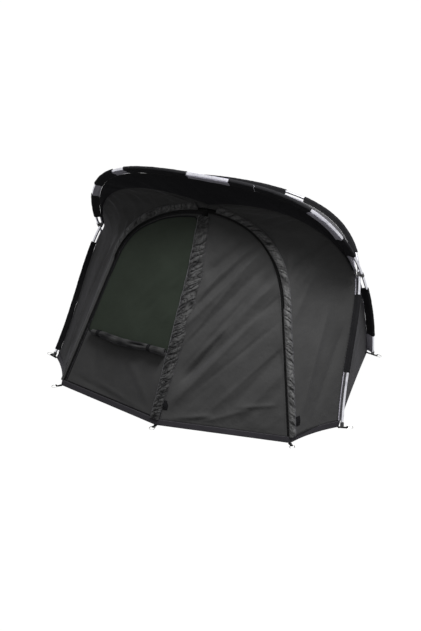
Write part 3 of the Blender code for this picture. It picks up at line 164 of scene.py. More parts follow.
def normals_of(grid):
    """The outward direction at each place of a patch."""
    normal = unit(raw_normals(grid))
    return normal if (normal * (grid - INSIDE)).sum() > 0 else -normal


def turned(grid):
    """Whether a patch faces the middle of the shelter."""
    return raw_normals(grid).reshape(-1, 3).sum(0).dot(grid.reshape(-1, 3).mean(0) - INSIDE) < 0


def faced(grid, like=None):
    """The same patch, or a table that goes with it, with the patch's face turned outwards."""
    return grid[:, ::-1] if turned(grid if like is None else like) else grid


print("five rows between two lines", ruled(np.zeros((2, 3)), np.ones((2, 3)), 5)[:, 0, 0])

# %% [markdown]
# ## The two hoops
# A sectional pole bent into a sleeve takes a smooth curve that lies in one
# leaning plane. One Bezier line gives half of it. A hoop here answers where
# the pole is at any length from its left foot, and which way its inside is,
# because poles, sleeves and seams all follow it.

# %% The hoop lines
class Hoop:
    """A pole bent in a leaning plane."""

    def __init__(self, foot_x, foot_y, lean, height, side_pull, side_share, crown_share):
        half = bezier(((foot_x, 0.0), (foot_x + side_pull, side_share * height),
                       (crown_share * foot_x, height), (0.0, height)))
        flat = resample(np.concatenate((half * (-1.0, 1.0), half[::-1][1:])), 1201)
        self.up = np.array((0.0, math.sin(lean), math.cos(lean)))
        self.across = np.cross((1.0, 0.0, 0.0), self.up)
        self.points = self.lift(flat) + np.array((0.0, foot_y, 0.0))
        tangent = unit(np.gradient(flat, axis=0))
        self.inward = self.lift(np.stack((tangent[:, 1], -tangent[:, 0]), -1))
        self.arc = lengths(self.points)
        self.length = self.arc[-1]
        self.start = unit(self.points[1] - self.points[0])
        self.rise = (self.points[1] - self.points[0])[2] / self.arc[1]

    def lift(self, flat):
        """Places drawn in the hoop's plane, in space."""
        return flat[:, :1] * np.array((1.0, 0.0, 0.0)) + flat[:, 1:] * self.up

    def inward_at(self, arcs):
        """Towards the inside of the hoop, at lengths along it."""
        return unit(read_at(arcs, self.arc, self.inward))

    def at(self, arcs, inward=0.0):
        """Places on the pole, or set inside it, at lengths along it."""
        before = np.minimum(np.asarray(arcs, float), 0.0)
        beyond = np.maximum(np.asarray(arcs, float) - self.length, 0.0)
        place = read_at(arcs, self.arc, self.points) + before[..., None] * self.start
        place = place + beyond[..., None] * unit(self.points[-1] - self.points[-2])
        return place + inward * self.inward_at(arcs)

    def crossing(self, height):
        """Length to where the right side stands at a height."""
        half = len(self.arc) // 2
        return float(np.interp(height, self.points[half:, 2][::-1], self.arc[half:][::-1]))

    def foot(self, height, drop):
        """Length from the left foot to where the seam meets a height."""
        return (height - drop * self.inward[0][2]) / self.rise

    def tip(self):
        """Length from the foot to the middle of the pole's round tip."""
        return (TIP_RADIUS + TIP_GAP) / self.rise

    def seam(self, start, end, drop, count):
        """The seam that the shell hangs from."""
        return self.at(np.linspace(start, end, count), drop)


FRONT, REAR = Hoop(*FRONT_HOOP), Hoop(*REAR_HOOP)
CROSS_HEIGHT = (FRONT_HOOP[1] - REAR_HOOP[1]) / (math.tan(REAR_HOOP[2]) - math.tan(FRONT_HOOP[2]))
FRONT_CROSS, REAR_CROSS = FRONT.crossing(CROSS_HEIGHT), REAR.crossing(CROSS_HEIGHT)
print("hoops", round(FRONT.length, 3), round(REAR.length, 3), "cross at", round(CROSS_HEIGHT, 3))

# %% [markdown]
# ## The two front leaves
# The front is two flat leaves that meet at a middle zip. Each is closed by a
# curved zip arch: straight from the hem to the knee, then round to the crown.
# Places on a leaf are told by p along the hem and q up the slope, so that a
# fold can be put where it is seen on the cloth.

# %% The leaf planes and their zip arches
class Leaf:
    """The flat plane of one front leaf."""

    def __init__(self, side, width, knee, handles):
        self.side, self.width, self.knee = side, width, np.array(knee)
        self.origin = np.array((0.0, DOOR_POINT_Y, 0.0))
        self.p = np.array((side * math.cos(LEAF_SPLAY), math.sin(LEAF_SPLAY), 0.0))
        seam = np.array((0.0, math.sin(LEAF_LEAN), math.cos(LEAF_LEAN)))
        self.q = unit(seam - seam.dot(self.p) * self.p)
        self.out = side * np.cross(self.p, self.q)
        self.seam = np.array((seam.dot(self.p), seam.dot(self.q)))
        self.over = np.array((self.seam[1], -self.seam[0]))
        self.foot = np.array((width, 0.0))
        self.crown = self.seam * ARCH_CROWN
        self.straight = unit(self.knee - self.foot)
        reach = np.linalg.norm(self.crown - self.knee)
        self.curve = bezier((self.knee, self.knee + handles[0] * reach * self.straight,
                             self.crown + handles[1] * reach * self.over, self.crown))

    def place(self, flat, out=0.0):
        """Leaf places in space, out from the cloth's face."""
        flat = np.asarray(flat, float)
        out = np.broadcast_to(np.asarray(out, float), flat.shape[:-1])
        return self.origin + flat[..., :1] * self.p + flat[..., 1:] * self.q + out[..., None] * self.out

    def seam_at(self, height):
        """The leaf place on the middle seam at a height."""
        return self.seam * (height / self.q[2]) / self.seam[1]

    def arch_at(self, height):
        """The leaf place on the straight foot of the arch at a height."""
        return self.foot + self.straight * (height / self.q[2]) / self.straight[1]

    def arch(self, fine=1):
        """Places along the zip arch from the hem to the crown, with their directions into the leaf."""
        leg = np.linspace(self.arch_at(PANEL_FOOT), self.knee, LEG_STEPS * fine + 1)
        line = np.concatenate((leg, resample(self.curve, CURVE_STEPS * fine + 1)[1:]))
        tangent = np.gradient(line, axis=0)
        tangent[:LEG_STEPS * fine] = self.straight
        tangent[-1] = -self.over
        tangent = unit(tangent)
        inward = np.stack((-tangent[:, 1], tangent[:, 0]), -1)
        blend = np.clip(1 - np.arange(len(line)) / fine, 0, 1)[:, None]
        level = np.array((1 / inward[0][0], 0.0))
        return line, (1 - blend) * inward + blend * level


RIGHT = Leaf(1.0, RIGHT_LEAF_WIDTH, (0.700, 0.830), (0.36, 0.47))
LEFT = Leaf(-1.0, LEFT_LEAF_WIDTH, (0.716, 0.930), (0.30, 0.47))
print("arch lengths", [round(float(lengths(leaf.arch(8)[0])[-1]), 3) for leaf in (RIGHT, LEFT)])

# %% [markdown]
# ## The hem on the ground
# The shell's foot is a nine-sided line, drawn in a little between its corners
# because the cloth is pegged only there. Corners run anticlockwise from the
# middle of the front.

# %% The hem line
def corners(height):
    """The shell's corners at a height."""
    spots = [RIGHT.place(RIGHT.seam * height / math.cos(LEAF_LEAN)), RIGHT.place(RIGHT.arch_at(height))]
    for hoop, drop in ((REAR, REAR_DROP), (FRONT, FRONT_DROP)):
        spots.append(mirrored(hoop.points[0] + hoop.foot(height, drop) * hoop.start + drop * hoop.inward[0]))
    slope = REAR_CORNER_RISE * height / HEM_HEIGHT
    spots.append(np.array((REAR_CORNER_X, REAR_CORNER_Y - slope, height)))
    return spots + [mirrored(spot) for spot in spots[:1:-1]] + [LEFT.place(LEFT.arch_at(height))]


def closed(line):
    """The same line with its first place again at its end."""
    return np.concatenate((line, line[:1]))


def hem_edge(k, height, count):
    """One side of the hem, drawn in between two corners."""
    spots = corners(height)
    a, b = spots[k], spots[(k + 1) % 9]
    t = np.linspace(0.0, 1.0, count)[:, None]
    inward = unit(np.cross((0.0, 0.0, 1.0), b - a))
    return a + (b - a) * t + HEM_SAGS[k] * 4 * t * (1 - t) * inward


def hem_outline(height, count=40):
    """The whole hem line, closed on itself."""
    return closed(np.concatenate([hem_edge(k, height, count)[:-1] for k in range(9)]))


def hem_inside(height, gap):
    """The hem line at a height, drawn in by a gap."""
    line = hem_outline(height)[:-1]
    away = line - line.mean(0)
    return closed(line.mean(0) + away * (1 - gap / np.linalg.norm(away, axis=1))[:, None])


print("hem length", round(float(lengths(hem_outline(HEM_HEIGHT))[-1]), 3))

# %% [markdown]
# ## How one panel of cloth is made
# A panel starts as Blender's own grid. Each of its points is moved to its
# place between the seams, its folds are pushed along the cloth's normal, and
# a Solidify modifier gives it the thickness of cloth. Two UV maps go with it,
# both in metres: one follows the threads, and one tells how far a place is
# from the nearest sewn edge, which is where the stitches run.

# %% Measure cloth along its threads
def thread_lengths(grid):
    """How far each place is along its row and its column, in metres of cloth."""
    u = np.zeros(grid.shape[:2])
    v = np.zeros(grid.shape[:2])
    u[:, 1:] = np.cumsum(np.linalg.norm(np.diff(grid, axis=1), axis=-1), axis=1)
    v[1:] = np.cumsum(np.linalg.norm(np.diff(grid, axis=0), axis=-1), axis=0)
    return u, v


def cut_size(grid):
    """Width, length and area of the flat cut."""
    u, v = thread_lengths(grid)
    cell = np.cross(grid[:-1, 1:] - grid[:-1, :-1], grid[1:, :-1] - grid[:-1, :-1])
    other = np.cross(grid[:-1, 1:] - grid[1:, 1:], grid[1:, :-1] - grid[1:, 1:])
    area = (np.linalg.norm(cell, axis=-1).sum() + np.linalg.norm(other, axis=-1).sum()) / 2
    width, length = float(u.max()), float(v.max())
    return (width, length), max(min(float(area), width * length), LEAST_SHARE * width * length)


edge = np.array(((0.0, 0.0, 0.0), (1.0, 0.0, 0.0)))
print("the cut of a square metre", cut_size(ruled(edge, edge + np.array((0.0, 1.0, 0.0)), 3)))

# %% Lay a grid of cloth
@contextmanager
def edited(mesh):
    """Open a mesh for edits, and write it back."""
    bm = bmesh.new()
    bm.from_mesh(mesh)
    yield bm
    bm.to_mesh(mesh)
    bm.free()


def new_object(name, data):
    """An object in the scene."""
    obj = bpy.data.objects.new(name, data)
    bpy.context.scene.collection.objects.link(obj)
    return obj


def read_items(items, label, width=1, kind=float):
    """One property of a mesh's items, as a table."""
    table = np.empty(len(items) * width, kind)
    items.foreach_get(label, table)
    return table if width == 1 else table.reshape(-1, width)


def write_map(mesh, name, first, second):
    """A UV map from two numbers at every face corner."""
    layer = mesh.uv_layers.get(name) or mesh.uv_layers.new(name=name)
    layer.data.foreach_set("uv", np.stack((first, second), -1).astype(np.float32).ravel())


def write_cloth_maps(mesh, grid, i, j, sewn, relief):
    """The thread and seam maps of a cloth, and, if it has one, its pucker map, which paints shade in creases and a
    highlight on crests.
    """
    u, v = thread_lengths(grid)
    write_map(mesh, "threads", (u - u[:, grid.shape[1] // 2][:, None])[j, i], v[j, i])
    near = {"l": (u, v), "r": (u[:, -1:] - u, v), "b": (v, u), "t": (v[-1:] - v, u)}
    away, along = (np.stack([near[side][k][j, i] for side in sewn]) for k in (0, 1))
    pick = away.reshape(len(sewn), -1, 4).mean(-1).argmin(0).repeat(4)
    every = np.arange(len(pick))
    write_map(mesh, "seams", away[pick, every], along[pick, every])
    if relief is not None:
        write_map(mesh, "relief", relief[j, i], 0 * u[j, i])


def lay_cloth(name, grid, material, thickness=0.0016, sewn="lrbt", holes=None, outward=False, relief=None):
    """A cloth mesh on a table of places, with its maps. Without a thickness it is a closed bar."""
    rows, columns = grid.shape[:2]
    mesh = bpy.data.meshes.new(name)
    with edited(mesh) as bm:
        bmesh.ops.create_grid(bm, x_segments=columns - 1, y_segments=rows - 1, size=1.0)
    flat = read_items(mesh.vertices, "co", 3)
    i = np.rint((flat[:, 0] + 1) / 2 * (columns - 1)).astype(int)
    j = np.rint((flat[:, 1] + 1) / 2 * (rows - 1)).astype(int)
    mesh.vertices.foreach_set("co", grid[j, i].astype(np.float32).ravel())
    loops = read_items(mesh.loops, "vertex_index", kind=int)
    j, i = j[loops], i[loops]
    write_cloth_maps(mesh, grid, i, j, sewn, relief)
    if holes is not None:
        gone = holes[j.reshape(-1, 4).min(1), i.reshape(-1, 4).min(1)]
        with edited(mesh) as bm:
            bm.faces.ensure_lookup_table()
            bmesh.ops.delete(bm, geom=[bm.faces[k] for k in np.nonzero(gone)[0]], context="FACES")
    if not thickness:
        with edited(mesh) as bm:
            bmesh.ops.remove_doubles(bm, verts=bm.verts, dist=0.00005)
            bmesh.ops.holes_fill(bm, edges=bm.edges, sides=columns)
            bmesh.ops.recalc_face_normals(bm, faces=bm.faces)
    mesh.shade_smooth()
    mesh.materials.append(material)
    obj = new_object(name, mesh)
    if thickness:
        solid = obj.modifiers.new("cloth", "SOLIDIFY")
        solid.thickness, solid.offset = thickness, 1.0 if outward else -1.0
    return obj

# %% Mount cloths, and the pieces sewn to them
CUTS, SEWN_ON = {}, {}


def mount(obj, body, slot, *nodes):
    """A piece rides on its body in the place of its solids; the slot is not used."""
    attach(obj, body)
    if nodes:
        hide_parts(*nodes)


def trim(obj, cloth, body, slot, *nodes):
    """A small piece sewn to a cloth: it rides with it and is counted with it."""
    mount(obj, body, slot, *nodes)
    SEWN_ON.setdefault(cloth, []).append(obj.name)


def dress(obj, grid, nodes, rests_on, body="tent", slot="shell_cloth", held="stretched", area=None):
    """Mount a cloth, and note its cut for later."""
    mount(obj, body, slot, *nodes)
    flat, whole = cut_size(grid)
    CUTS[obj.name] = (flat, held, rests_on, whole if area is None else area)
    print(obj.name, "cut", round(flat[0], 3), round(flat[1], 3), "faces", len(obj.data.polygons))


print("cloths so far", len(CUTS))

# %% [markdown]
# ## Folds and wrinkles
# Cloth wrinkles along the pull: sharp near a seam or corner and soft in the
# open. Three kinds are enough here. A fold is a ridge or a valley along one
# line, told by its two ends, its height and its width. Rumple is a smooth
# random unevenness, and gathers are the many small puckers of a band that was
# sewn shorter than its cloth.

# %% Shapes that cloth takes
def rumple(u, v, size, seed):
    """Smooth random heights from -1 to 1, at one size in metres."""
    table = np.random.RandomState(seed).uniform(-1.0, 1.0, (64, 64))
    x, y = np.asarray(u) / size + 11.3, np.asarray(v) / size + 17.7
    x0, y0 = np.floor(x).astype(int), np.floor(y).astype(int)
    fx, fy = x - x0, y - y0
    fx, fy = fx * fx * (3 - 2 * fx), fy * fy * (3 - 2 * fy)
    a, b = table[y0 % 64, x0 % 64], table[y0 % 64, (x0 + 1) % 64]
    c, d = table[(y0 + 1) % 64, x0 % 64], table[(y0 + 1) % 64, (x0 + 1) % 64]
    return (a * (1 - fx) + b * fx) * (1 - fy) + (c * (1 - fx) + d * fx) * fy


def fold(flat, start, end, height, width, sharp=1.0):
    """A ridge, or a valley if the height is negative, along one line of the cloth."""
    start, end = np.asarray(start, float), np.asarray(end, float)
    run = end - start
    reach = np.linalg.norm(run)
    along = ((flat - start) @ run) / reach ** 2
    away = (flat - start) @ np.array((-run[1], run[0])) / reach
    taper = ramp(along, -0.08, 0.22) * ramp(1 - along, -0.05, 0.22)
    return height * taper * np.exp(-np.abs(away / width) ** (2.0 / sharp))


def folds(flat, table, **more):
    """All the folds of a list."""
    return sum(fold(flat, *item, **more) for item in table)


def streaks(u, v, angle, pitch, stretch, seed):
    """Long wrinkles that run along one angle."""
    c, s = math.cos(angle), math.sin(angle)
    return rumple((c * u + s * v) / stretch, -s * u + c * v, pitch, seed)


def edge_share(grid):
    """Shares of the way across each row and up each column."""
    rows, columns = grid.shape[:2]
    return np.meshgrid(np.linspace(0.0, 1.0, columns), np.linspace(0.0, 1.0, rows))


def push(grid, heights):
    """Move cloth along its own normal."""
    return grid + heights[..., None] * normals_of(grid)


def edge_hold(across, up):
    """Nothing at the sewn edges of a leaf, and one inside them."""
    return ramp(across, 0.0, 0.05) * ramp(1 - across, 0.0, 0.05) * ramp(up, 0.0, 0.04) * ramp(1 - up, 0.0, 0.05)


def bulge(across, up):
    """Nothing at the edges and one in the middle."""
    return np.sin(math.pi * across) * np.sin(math.pi * up)


def relax(grid, turns, keep_columns):
    """Even out the inside of a patch, as a pull from all its edges does."""
    grid = grid.copy()
    for _ in range(turns):
        mean = (grid[:-2, 1:-1] + grid[2:, 1:-1] + grid[1:-1, :-2] + grid[1:-1, 2:]) / 4
        grid[1:-1, 1 + keep_columns:-1] = mean[:, keep_columns:]
    return grid


print("heights of rumple, 2 cm apart", np.round(rumple(0.02 * np.arange(5), 0.0, 0.05, 1), 2))

# %% [markdown]
# ## Shader groups
# Effects that several finishes share are node groups, built once. "cloth"
# gives the threads, the unevenness of the dye and the small crumples of a
# coated polyester. "stitches" gives the two rows of thread beside a seam.
# "wear" gives rubbed edges and a little dust. Groups only put out masks and
# heights, and each material keeps its own shader.

# %% Helpers for building shaders
def feed(tree, socket, value):
    """Wire a socket to another's output, or give it a plain number or colour."""
    if hasattr(value, "is_output"):
        tree.links.new(value, socket)
    else:
        socket.default_value = (*value, 1.0) if isinstance(value, tuple) else value


def set_inputs(tree, node, **values):
    """Feed a node's inputs by their names, with _ for a space."""
    for label, value in values.items():
        feed(tree, node.inputs[label.replace("_", " ")], value)
    return node


def add_node(tree, kind, **values):
    """A new shader node with some inputs fed."""
    return set_inputs(tree, tree.nodes.new("ShaderNode" + kind), **values)


def new_group(name, inputs, outputs):
    """A shader group with named number sockets."""
    group = bpy.data.node_groups.new(name, "ShaderNodeTree")
    for label, value in inputs:
        group.interface.new_socket(label, in_out="INPUT", socket_type="NodeSocketFloat").default_value = value
    for label in outputs:
        group.interface.new_socket(label, in_out="OUTPUT", socket_type="NodeSocketFloat")
    return group, group.nodes.new("NodeGroupInput"), group.nodes.new("NodeGroupOutput")


def math_node(operation, tree, *values):
    """One Math node, wired to sockets or given plain numbers."""
    node = tree.nodes.new("ShaderNodeMath")
    node.operation = operation
    for socket, value in zip(node.inputs, values):
        feed(tree, socket, value)
    return node.outputs[0]


plus, minus, times, over, larger, below, sine, part_of_one, size_of = (
    partial(math_node, operation) for operation in
    ("ADD", "SUBTRACT", "MULTIPLY", "DIVIDE", "MAXIMUM", "LESS_THAN", "SINE", "FRACT", "ABSOLUTE"))


def wave(tree, along, pitch, shift=None):
    """A sine wave along a length, one turn for each pitch."""
    turn = times(tree, over(tree, along, pitch), 2 * math.pi)
    return sine(tree, turn if shift is None else plus(tree, turn, shift))


def map_range(tree, value, low, high, to_low, to_high):
    """Spread a value over a new range."""
    return add_node(tree, "MapRange", Value=value, From_Min=low, From_Max=high, To_Min=to_low,
                    To_Max=to_high).outputs["Result"]


def noise(tree, vector, scale, detail, rough=0.55):
    """A Noise texture's value."""
    return add_node(tree, "TexNoise", Vector=vector, Scale=scale, Detail=detail, Roughness=rough).outputs["Fac"]


def uv_of(tree, name):
    """One of the cloth's own maps."""
    node = tree.nodes.new("ShaderNodeUVMap")
    node.uv_map = name
    return node.outputs["UV"]


def xyz(tree, vector):
    """The three numbers of a vector."""
    return tuple(add_node(tree, "SeparateXYZ", Vector=vector).outputs)


print("sums in shaders", [helper.args[0] for helper in (plus, minus, times, over)])

# %% The cloth, stitch and wear groups
def build_cloth_group():
    """Threads, uneven dye and small crumples, on the map called threads."""
    group, given, out = new_group("cloth", (("Thread Pitch", 0.0011), ("Slub", 0.4)),
                                  ("Height", "Crumple", "Dye"))
    threads = uv_of(group, "threads")
    u, v, _ = xyz(group, threads)
    weave = times(group, *(wave(group, axis, given.outputs["Thread Pitch"]) for axis in (u, v)))
    slub = times(group, noise(group, threads, 240.0, 2.0), given.outputs["Slub"])
    fine, broad = noise(group, threads, 26.0, 4.0, 0.6), noise(group, threads, 7.0, 3.0, 0.5)
    crumple = plus(group, times(group, fine, 0.4), broad)
    set_inputs(group, out, Height=plus(group, times(group, weave, 0.5), slub), Crumple=crumple,
               Dye=noise(group, threads, 3.0, 5.0, 0.6))
    return group


def build_stitch_group():
    """Two rows of short stitches beside a sewn edge, and the pucker that they pull in."""
    group, given, out = new_group(
        "stitches", (("First Row", 0.006), ("Second Row", 0.012), ("Stitch", 0.0042), ("Thread", 0.0007)),
        ("Mask", "Height", "Pucker"))
    away, along, _ = xyz(group, uv_of(group, "seams"))
    rows = [below(group, size_of(group, minus(group, away, given.outputs[label])), given.outputs["Thread"])
            for label in ("First Row", "Second Row")]
    step = part_of_one(group, over(group, along, given.outputs["Stitch"]))
    mask = times(group, larger(group, *rows), below(group, step, 0.68))
    wobble = times(group, noise(group, uv_of(group, "threads"), 40.0, 2.0), 9.0)
    pucker = times(group, wave(group, along, 0.019, wobble), map_range(group, away, 0.0, 0.016, 1.0, 0.0))
    height = plus(group, times(group, mask, 0.6), map_range(group, away, 0.0, 0.0035, 0.0, 1.0))
    set_inputs(group, out, Mask=mask, Height=height, Pucker=pucker)
    return group


def build_wear_group():
    """Scratches, dust and grain, on Object coordinates."""
    group, given, out = new_group("wear", (("Scale", 60.0), ("Amount", 0.5)), ("Scratch", "Dust", "Grain"))
    place = group.nodes.new("ShaderNodeTexCoord").outputs["Object"]
    scale = group.nodes.new("ShaderNodeVectorMath")
    scale.operation = "SCALE"
    feed(group, scale.inputs[0], place)
    feed(group, scale.inputs["Scale"], given.outputs["Scale"])
    scratch = map_range(group, noise(group, scale.outputs[0], 1.0, 6.0, 0.7), 0.52, 0.66, 0.0, 1.0)
    set_inputs(group, out, Scratch=times(group, scratch, given.outputs["Amount"]),
               Dust=map_range(group, noise(group, place, 9.0, 4.0), 0.45, 0.75, 0.0, 1.0),
               Grain=noise(group, scale.outputs[0], 14.0, 2.0))
    return group


GROUPS = {"cloth": build_cloth_group(), "stitches": build_stitch_group(), "wear": build_wear_group()}
print("shader groups", sorted(GROUPS))

# %% [markdown]
# ## Finishes
# The shell is a near-black polyester with a coated back: matt, a little
# uneven, and paler with a lilac cast where it is seen along its face, which
# is what Sheen does. Glossy light is kept low, or the white room would turn
# the blacks grey. The sleeves and the brow are a blacker cloth. Webbing is
# ribbed, the window is a fine net, and the poles are bare drawn aluminium.

# %% Helpers for finishes
def new_finish(name):
    """A material, its shader tree and its Principled shader."""
    material = bpy.data.materials.new(name)
    material.use_nodes = True
    return material, material.node_tree, material.node_tree.nodes["Principled BSDF"]


def place_group(tree, name, **values):
    """A shared group with this material's own values."""
    node = tree.nodes.new("ShaderNodeGroup")
    node.node_tree = GROUPS[name]
    return set_inputs(tree, node, **values).outputs


def mix_colours(tree, factor, first, second):
    """One colour over another by a mask."""
    node = tree.nodes.new("ShaderNodeMix")
    node.data_type = "RGBA"
    for socket, value in ((node.inputs["Factor"], factor), (node.inputs[6], first), (node.inputs[7], second)):
        feed(tree, socket, value)
    return node.outputs[2]


def bump(tree, height, strength, distance, base=None):
    """A Bump node, on top of another if one is given."""
    node = add_node(tree, "Bump", Height=height, Strength=strength, Distance=distance)
    if base is not None:
        tree.links.new(base, node.inputs["Normal"])
    return node.outputs["Normal"]


def tint(colour, amount):
    """A colour made darker or paler."""
    return tuple(amount * part for part in colour)


def grey(value):
    """A colour without a hue."""
    return (value, value, value)


print("a grey at half its value", tint(grey(0.5), 0.5))

# %% Cloth finishes
def cloth_finish(name, dark, pale, thread, roughness=0.78, sheen=0.10, sheen_tint=(0.62, 0.60, 0.72),
                 pitch=0.0011, crumple=0.006, rows=(0.006, 0.012), gloss=0.07, gathered=False, edge_shade_width=None):
    """A sewn cloth: threads, uneven dye, crumples, stitches by its seams, painted shade in the creases of gathers
    with a painted highlight on their crests, and a band of painted shade along its sewn edges.
    """
    material, tree, shader = new_finish(name)
    cloth = place_group(tree, "cloth", Thread_Pitch=pitch)
    stitches = place_group(tree, "stitches", First_Row=rows[0], Second_Row=rows[1])
    colour = mix_colours(tree, map_range(tree, cloth["Dye"], 0.3, 0.7, 0.0, 1.0), dark, pale)
    # Gathered cloth: painted shade darkens the creases and a painted highlight pales the crests, read from the pucker
    # map.
    if gathered:
        painted_light_level = xyz(tree, uv_of(tree, "relief"))[0]
        colour = mix_colours(tree, map_range(tree, painted_light_level, 0.18, 0.66, 0.95, 0.0), colour, tint(dark, 0.15))
        colour = mix_colours(tree, map_range(tree, painted_light_level, 0.70, 1.0, 0.0, 0.9), colour, tint(pale, 1.7))
    # A band of painted shade, as wide as the number given, darkens the cloth along its sewn edges beside the zips.
    if edge_shade_width:
        edge = xyz(tree, uv_of(tree, "seams"))[0]
        painted_edge_shade = map_range(tree, edge, edge_shade_width, edge_shade_width + 0.0008, 1.0, 0.0)
        colour = mix_colours(tree, painted_edge_shade, colour, tint(dark, 0.2))
    normal = bump(tree, cloth["Crumple"], 0.45, crumple)
    normal = bump(tree, stitches["Pucker"], 0.35, 0.0012, normal)
    normal = bump(tree, stitches["Height"], 0.5, 0.0008, normal)
    normal = bump(tree, cloth["Height"], 0.35, 0.0003, normal)
    set_inputs(tree, shader, Base_Color=mix_colours(tree, stitches["Mask"], colour, thread), Normal=normal,
               Roughness=map_range(tree, cloth["Height"], -0.2, 0.8, roughness + 0.06, roughness - 0.06),
               Sheen_Weight=sheen, Sheen_Roughness=0.45, Sheen_Tint=sheen_tint, Specular_IOR_Level=gloss)
    return material


SHELL = cloth_finish("shell polyester", grey(0.040), grey(0.054), grey(0.026), crumple=0.012)
# The left leaf's cloth, with a band of painted shade 13 mm wide along its sewn edges.
EDGE_SHADED = cloth_finish("bordered polyester", grey(0.037), grey(0.050), grey(0.026), edge_shade_width=0.013)
# The gathered cloth is the shell cloth painted darker, for the shade among its puckers; the arch flaps' copy is
# painted paler, for the light on them.
SHADE_PAINTED_GATHERS = cloth_finish("gathered polyester", grey(0.032), grey(0.046), grey(0.024), 0.74, gathered=True)
LIGHT_PAINTED_GATHERS = cloth_finish("loose gathers", grey(0.056), grey(0.076), grey(0.028), 0.74, gathered=True)
# The middle band's hem is painted about twice as pale as the shell, a painted highlight along its fold.
HIGHLIT_HEM = cloth_finish("turned hem", (0.085, 0.085, 0.088), (0.120, 0.120, 0.125), grey(0.05), 0.6, 0.15,
                         gloss=0.22)
# The sleeve's fin under bare pole, painted pale lilac as a painted sheen and light on it.
SHEEN_PAINTED_FIN = cloth_finish("single-layer edge", (0.340, 0.330, 0.380), (0.420, 0.410, 0.465), (0.060, 0.060, 0.070),
                    gloss=0.10)
DARK = cloth_finish("sleeve polyester", (0.0090, 0.0090, 0.0100), (0.0135, 0.0135, 0.0148), grey(0.022),
                    0.85, 0.02, gloss=0.06)
NET = cloth_finish("window net", (0.018, 0.023, 0.017), (0.026, 0.033, 0.025), grey(0.010), 0.66, 0.06,
                   (0.6, 0.7, 0.6), pitch=0.0024, gloss=0.10)
HEM_BAND = cloth_finish("hem tape", (0.019, 0.018, 0.021), (0.031, 0.029, 0.034), grey(0.05), 0.65, 0.12,
                        pitch=0.0018, crumple=0.003, rows=(0.004, 0.022), gloss=0.10)
FLOOR_CLOTH = cloth_finish("groundsheet", (0.024, 0.027, 0.023), (0.034, 0.038, 0.032), grey(0.015), 0.55, 0.04,
                           pitch=0.004, crumple=0.010, gloss=0.22)
print("cloth finishes", [m.name for m in bpy.data.materials if "polyester" in m.name])

# %% Webbing, zip, metal and moulded finishes
def ribbed_finish(name, dark, pale, pitch, height, roughness):
    """A woven band, or a zip's coil, ribbed along its length."""
    material, tree, shader = new_finish(name)
    cloth = place_group(tree, "cloth", Thread_Pitch=0.0016)
    wear = place_group(tree, "wear", Scale=90.0, Amount=0.6)
    rib = wave(tree, xyz(tree, uv_of(tree, "threads"))[1], pitch)
    colour = mix_colours(tree, map_range(tree, rib, -1.0, 1.0, 0.0, 1.0), dark, pale)
    set_inputs(tree, shader, Base_Color=mix_colours(tree, wear["Scratch"], colour, tint(pale, 2.2)),
               Normal=bump(tree, rib, 0.7, height, bump(tree, cloth["Height"], 0.3, 0.0003)),
               Roughness=map_range(tree, rib, -1.0, 1.0, roughness + 0.1, roughness), Specular_IOR_Level=0.06)
    return material


def metal_finish(name, colour, dull, roughness, draw):
    """Bare metal with drawing lines, small dents of tone, and a dull skin in places."""
    material, tree, shader = new_finish(name)
    wear = place_group(tree, "wear", Scale=draw, Amount=0.8)
    skin = mix_colours(tree, wear["Dust"], colour, dull)
    set_inputs(tree, shader, Base_Color=mix_colours(tree, wear["Scratch"], skin, tint(dull, 0.8)), Metallic=1.0,
               Roughness=map_range(tree, wear["Grain"], 0.3, 0.7, roughness - 0.07, roughness + 0.12),
               Normal=bump(tree, wear["Grain"], 0.15, 0.0002))
    return material


def moulded_finish(name, colour, rubbed, roughness):
    """Injection-moulded plastic: a fine grain, rubbed paler in places."""
    material, tree, shader = new_finish(name)
    wear = place_group(tree, "wear", Scale=140.0, Amount=0.5)
    set_inputs(tree, shader, Base_Color=mix_colours(tree, wear["Scratch"], colour, rubbed),
               Roughness=map_range(tree, wear["Dust"], 0.0, 1.0, roughness, roughness + 0.2),
               Normal=bump(tree, wear["Grain"], 0.4, 0.0003))
    return material


WEBBING = ribbed_finish("ribbed webbing", (0.0035, 0.0035, 0.004), (0.010, 0.010, 0.011), 0.0022, 0.0005, 0.75)
ZIP = ribbed_finish("zip coil", grey(0.003), grey(0.009), 0.0018, 0.0007, 0.55)
ALLOY = metal_finish("drawn aluminium", (0.66, 0.66, 0.70), (0.50, 0.50, 0.55), 0.30, 30.0)
STEEL = metal_finish("ring steel", (0.78, 0.78, 0.76), grey(0.60), 0.24, 120.0)
PLASTIC = moulded_finish("moulded black", (0.014, 0.014, 0.015), grey(0.05), 0.42)
for ending, finish in (("slider", PLASTIC), ("pull", STEEL), ("ring", STEEL), ("clip", PLASTIC)):
    for name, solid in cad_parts.items():
        if name.endswith(ending):
            for slot in solid.material_slots:
                slot.material = finish
print("finishes", [m.name for m in bpy.data.materials if m.users])

# %% [markdown]
# ## The roof and the back
# The roof is one curved sheet between the two hoops, and the back is one
# sheet from the rear hoop down to the hem. Both are pulled tight, so they
# sag inwards only a little, and small wrinkles run in from their seams. A
# cloth simulation would give the same shape for far more time.

# %% The roof
ROOF_STEPS, ROOF_ROWS = 180, 60


def belly(grid, depth):
    """The inward sag of a stretched panel."""
    return push(grid, -depth * bulge(*edge_share(grid)))


def seam_wrinkles(grid, seed, height=0.0035, reach=0.16, pitch=0.055):
    """Short wrinkles that run in square from the top and bottom seams."""
    u, v = thread_lengths(grid)
    total = v[-1:]
    near = np.exp(-v / reach) + np.exp(-(total - v) / reach)
    lines = rumple(u, 0.22 * v, pitch, seed) + 0.5 * rumple(u, 0.3 * v, pitch / 2.2, seed + 1)
    edge = ramp(v, 0.0, 0.02) * ramp(total - v, 0.0, 0.02)
    return height * near * lines * edge


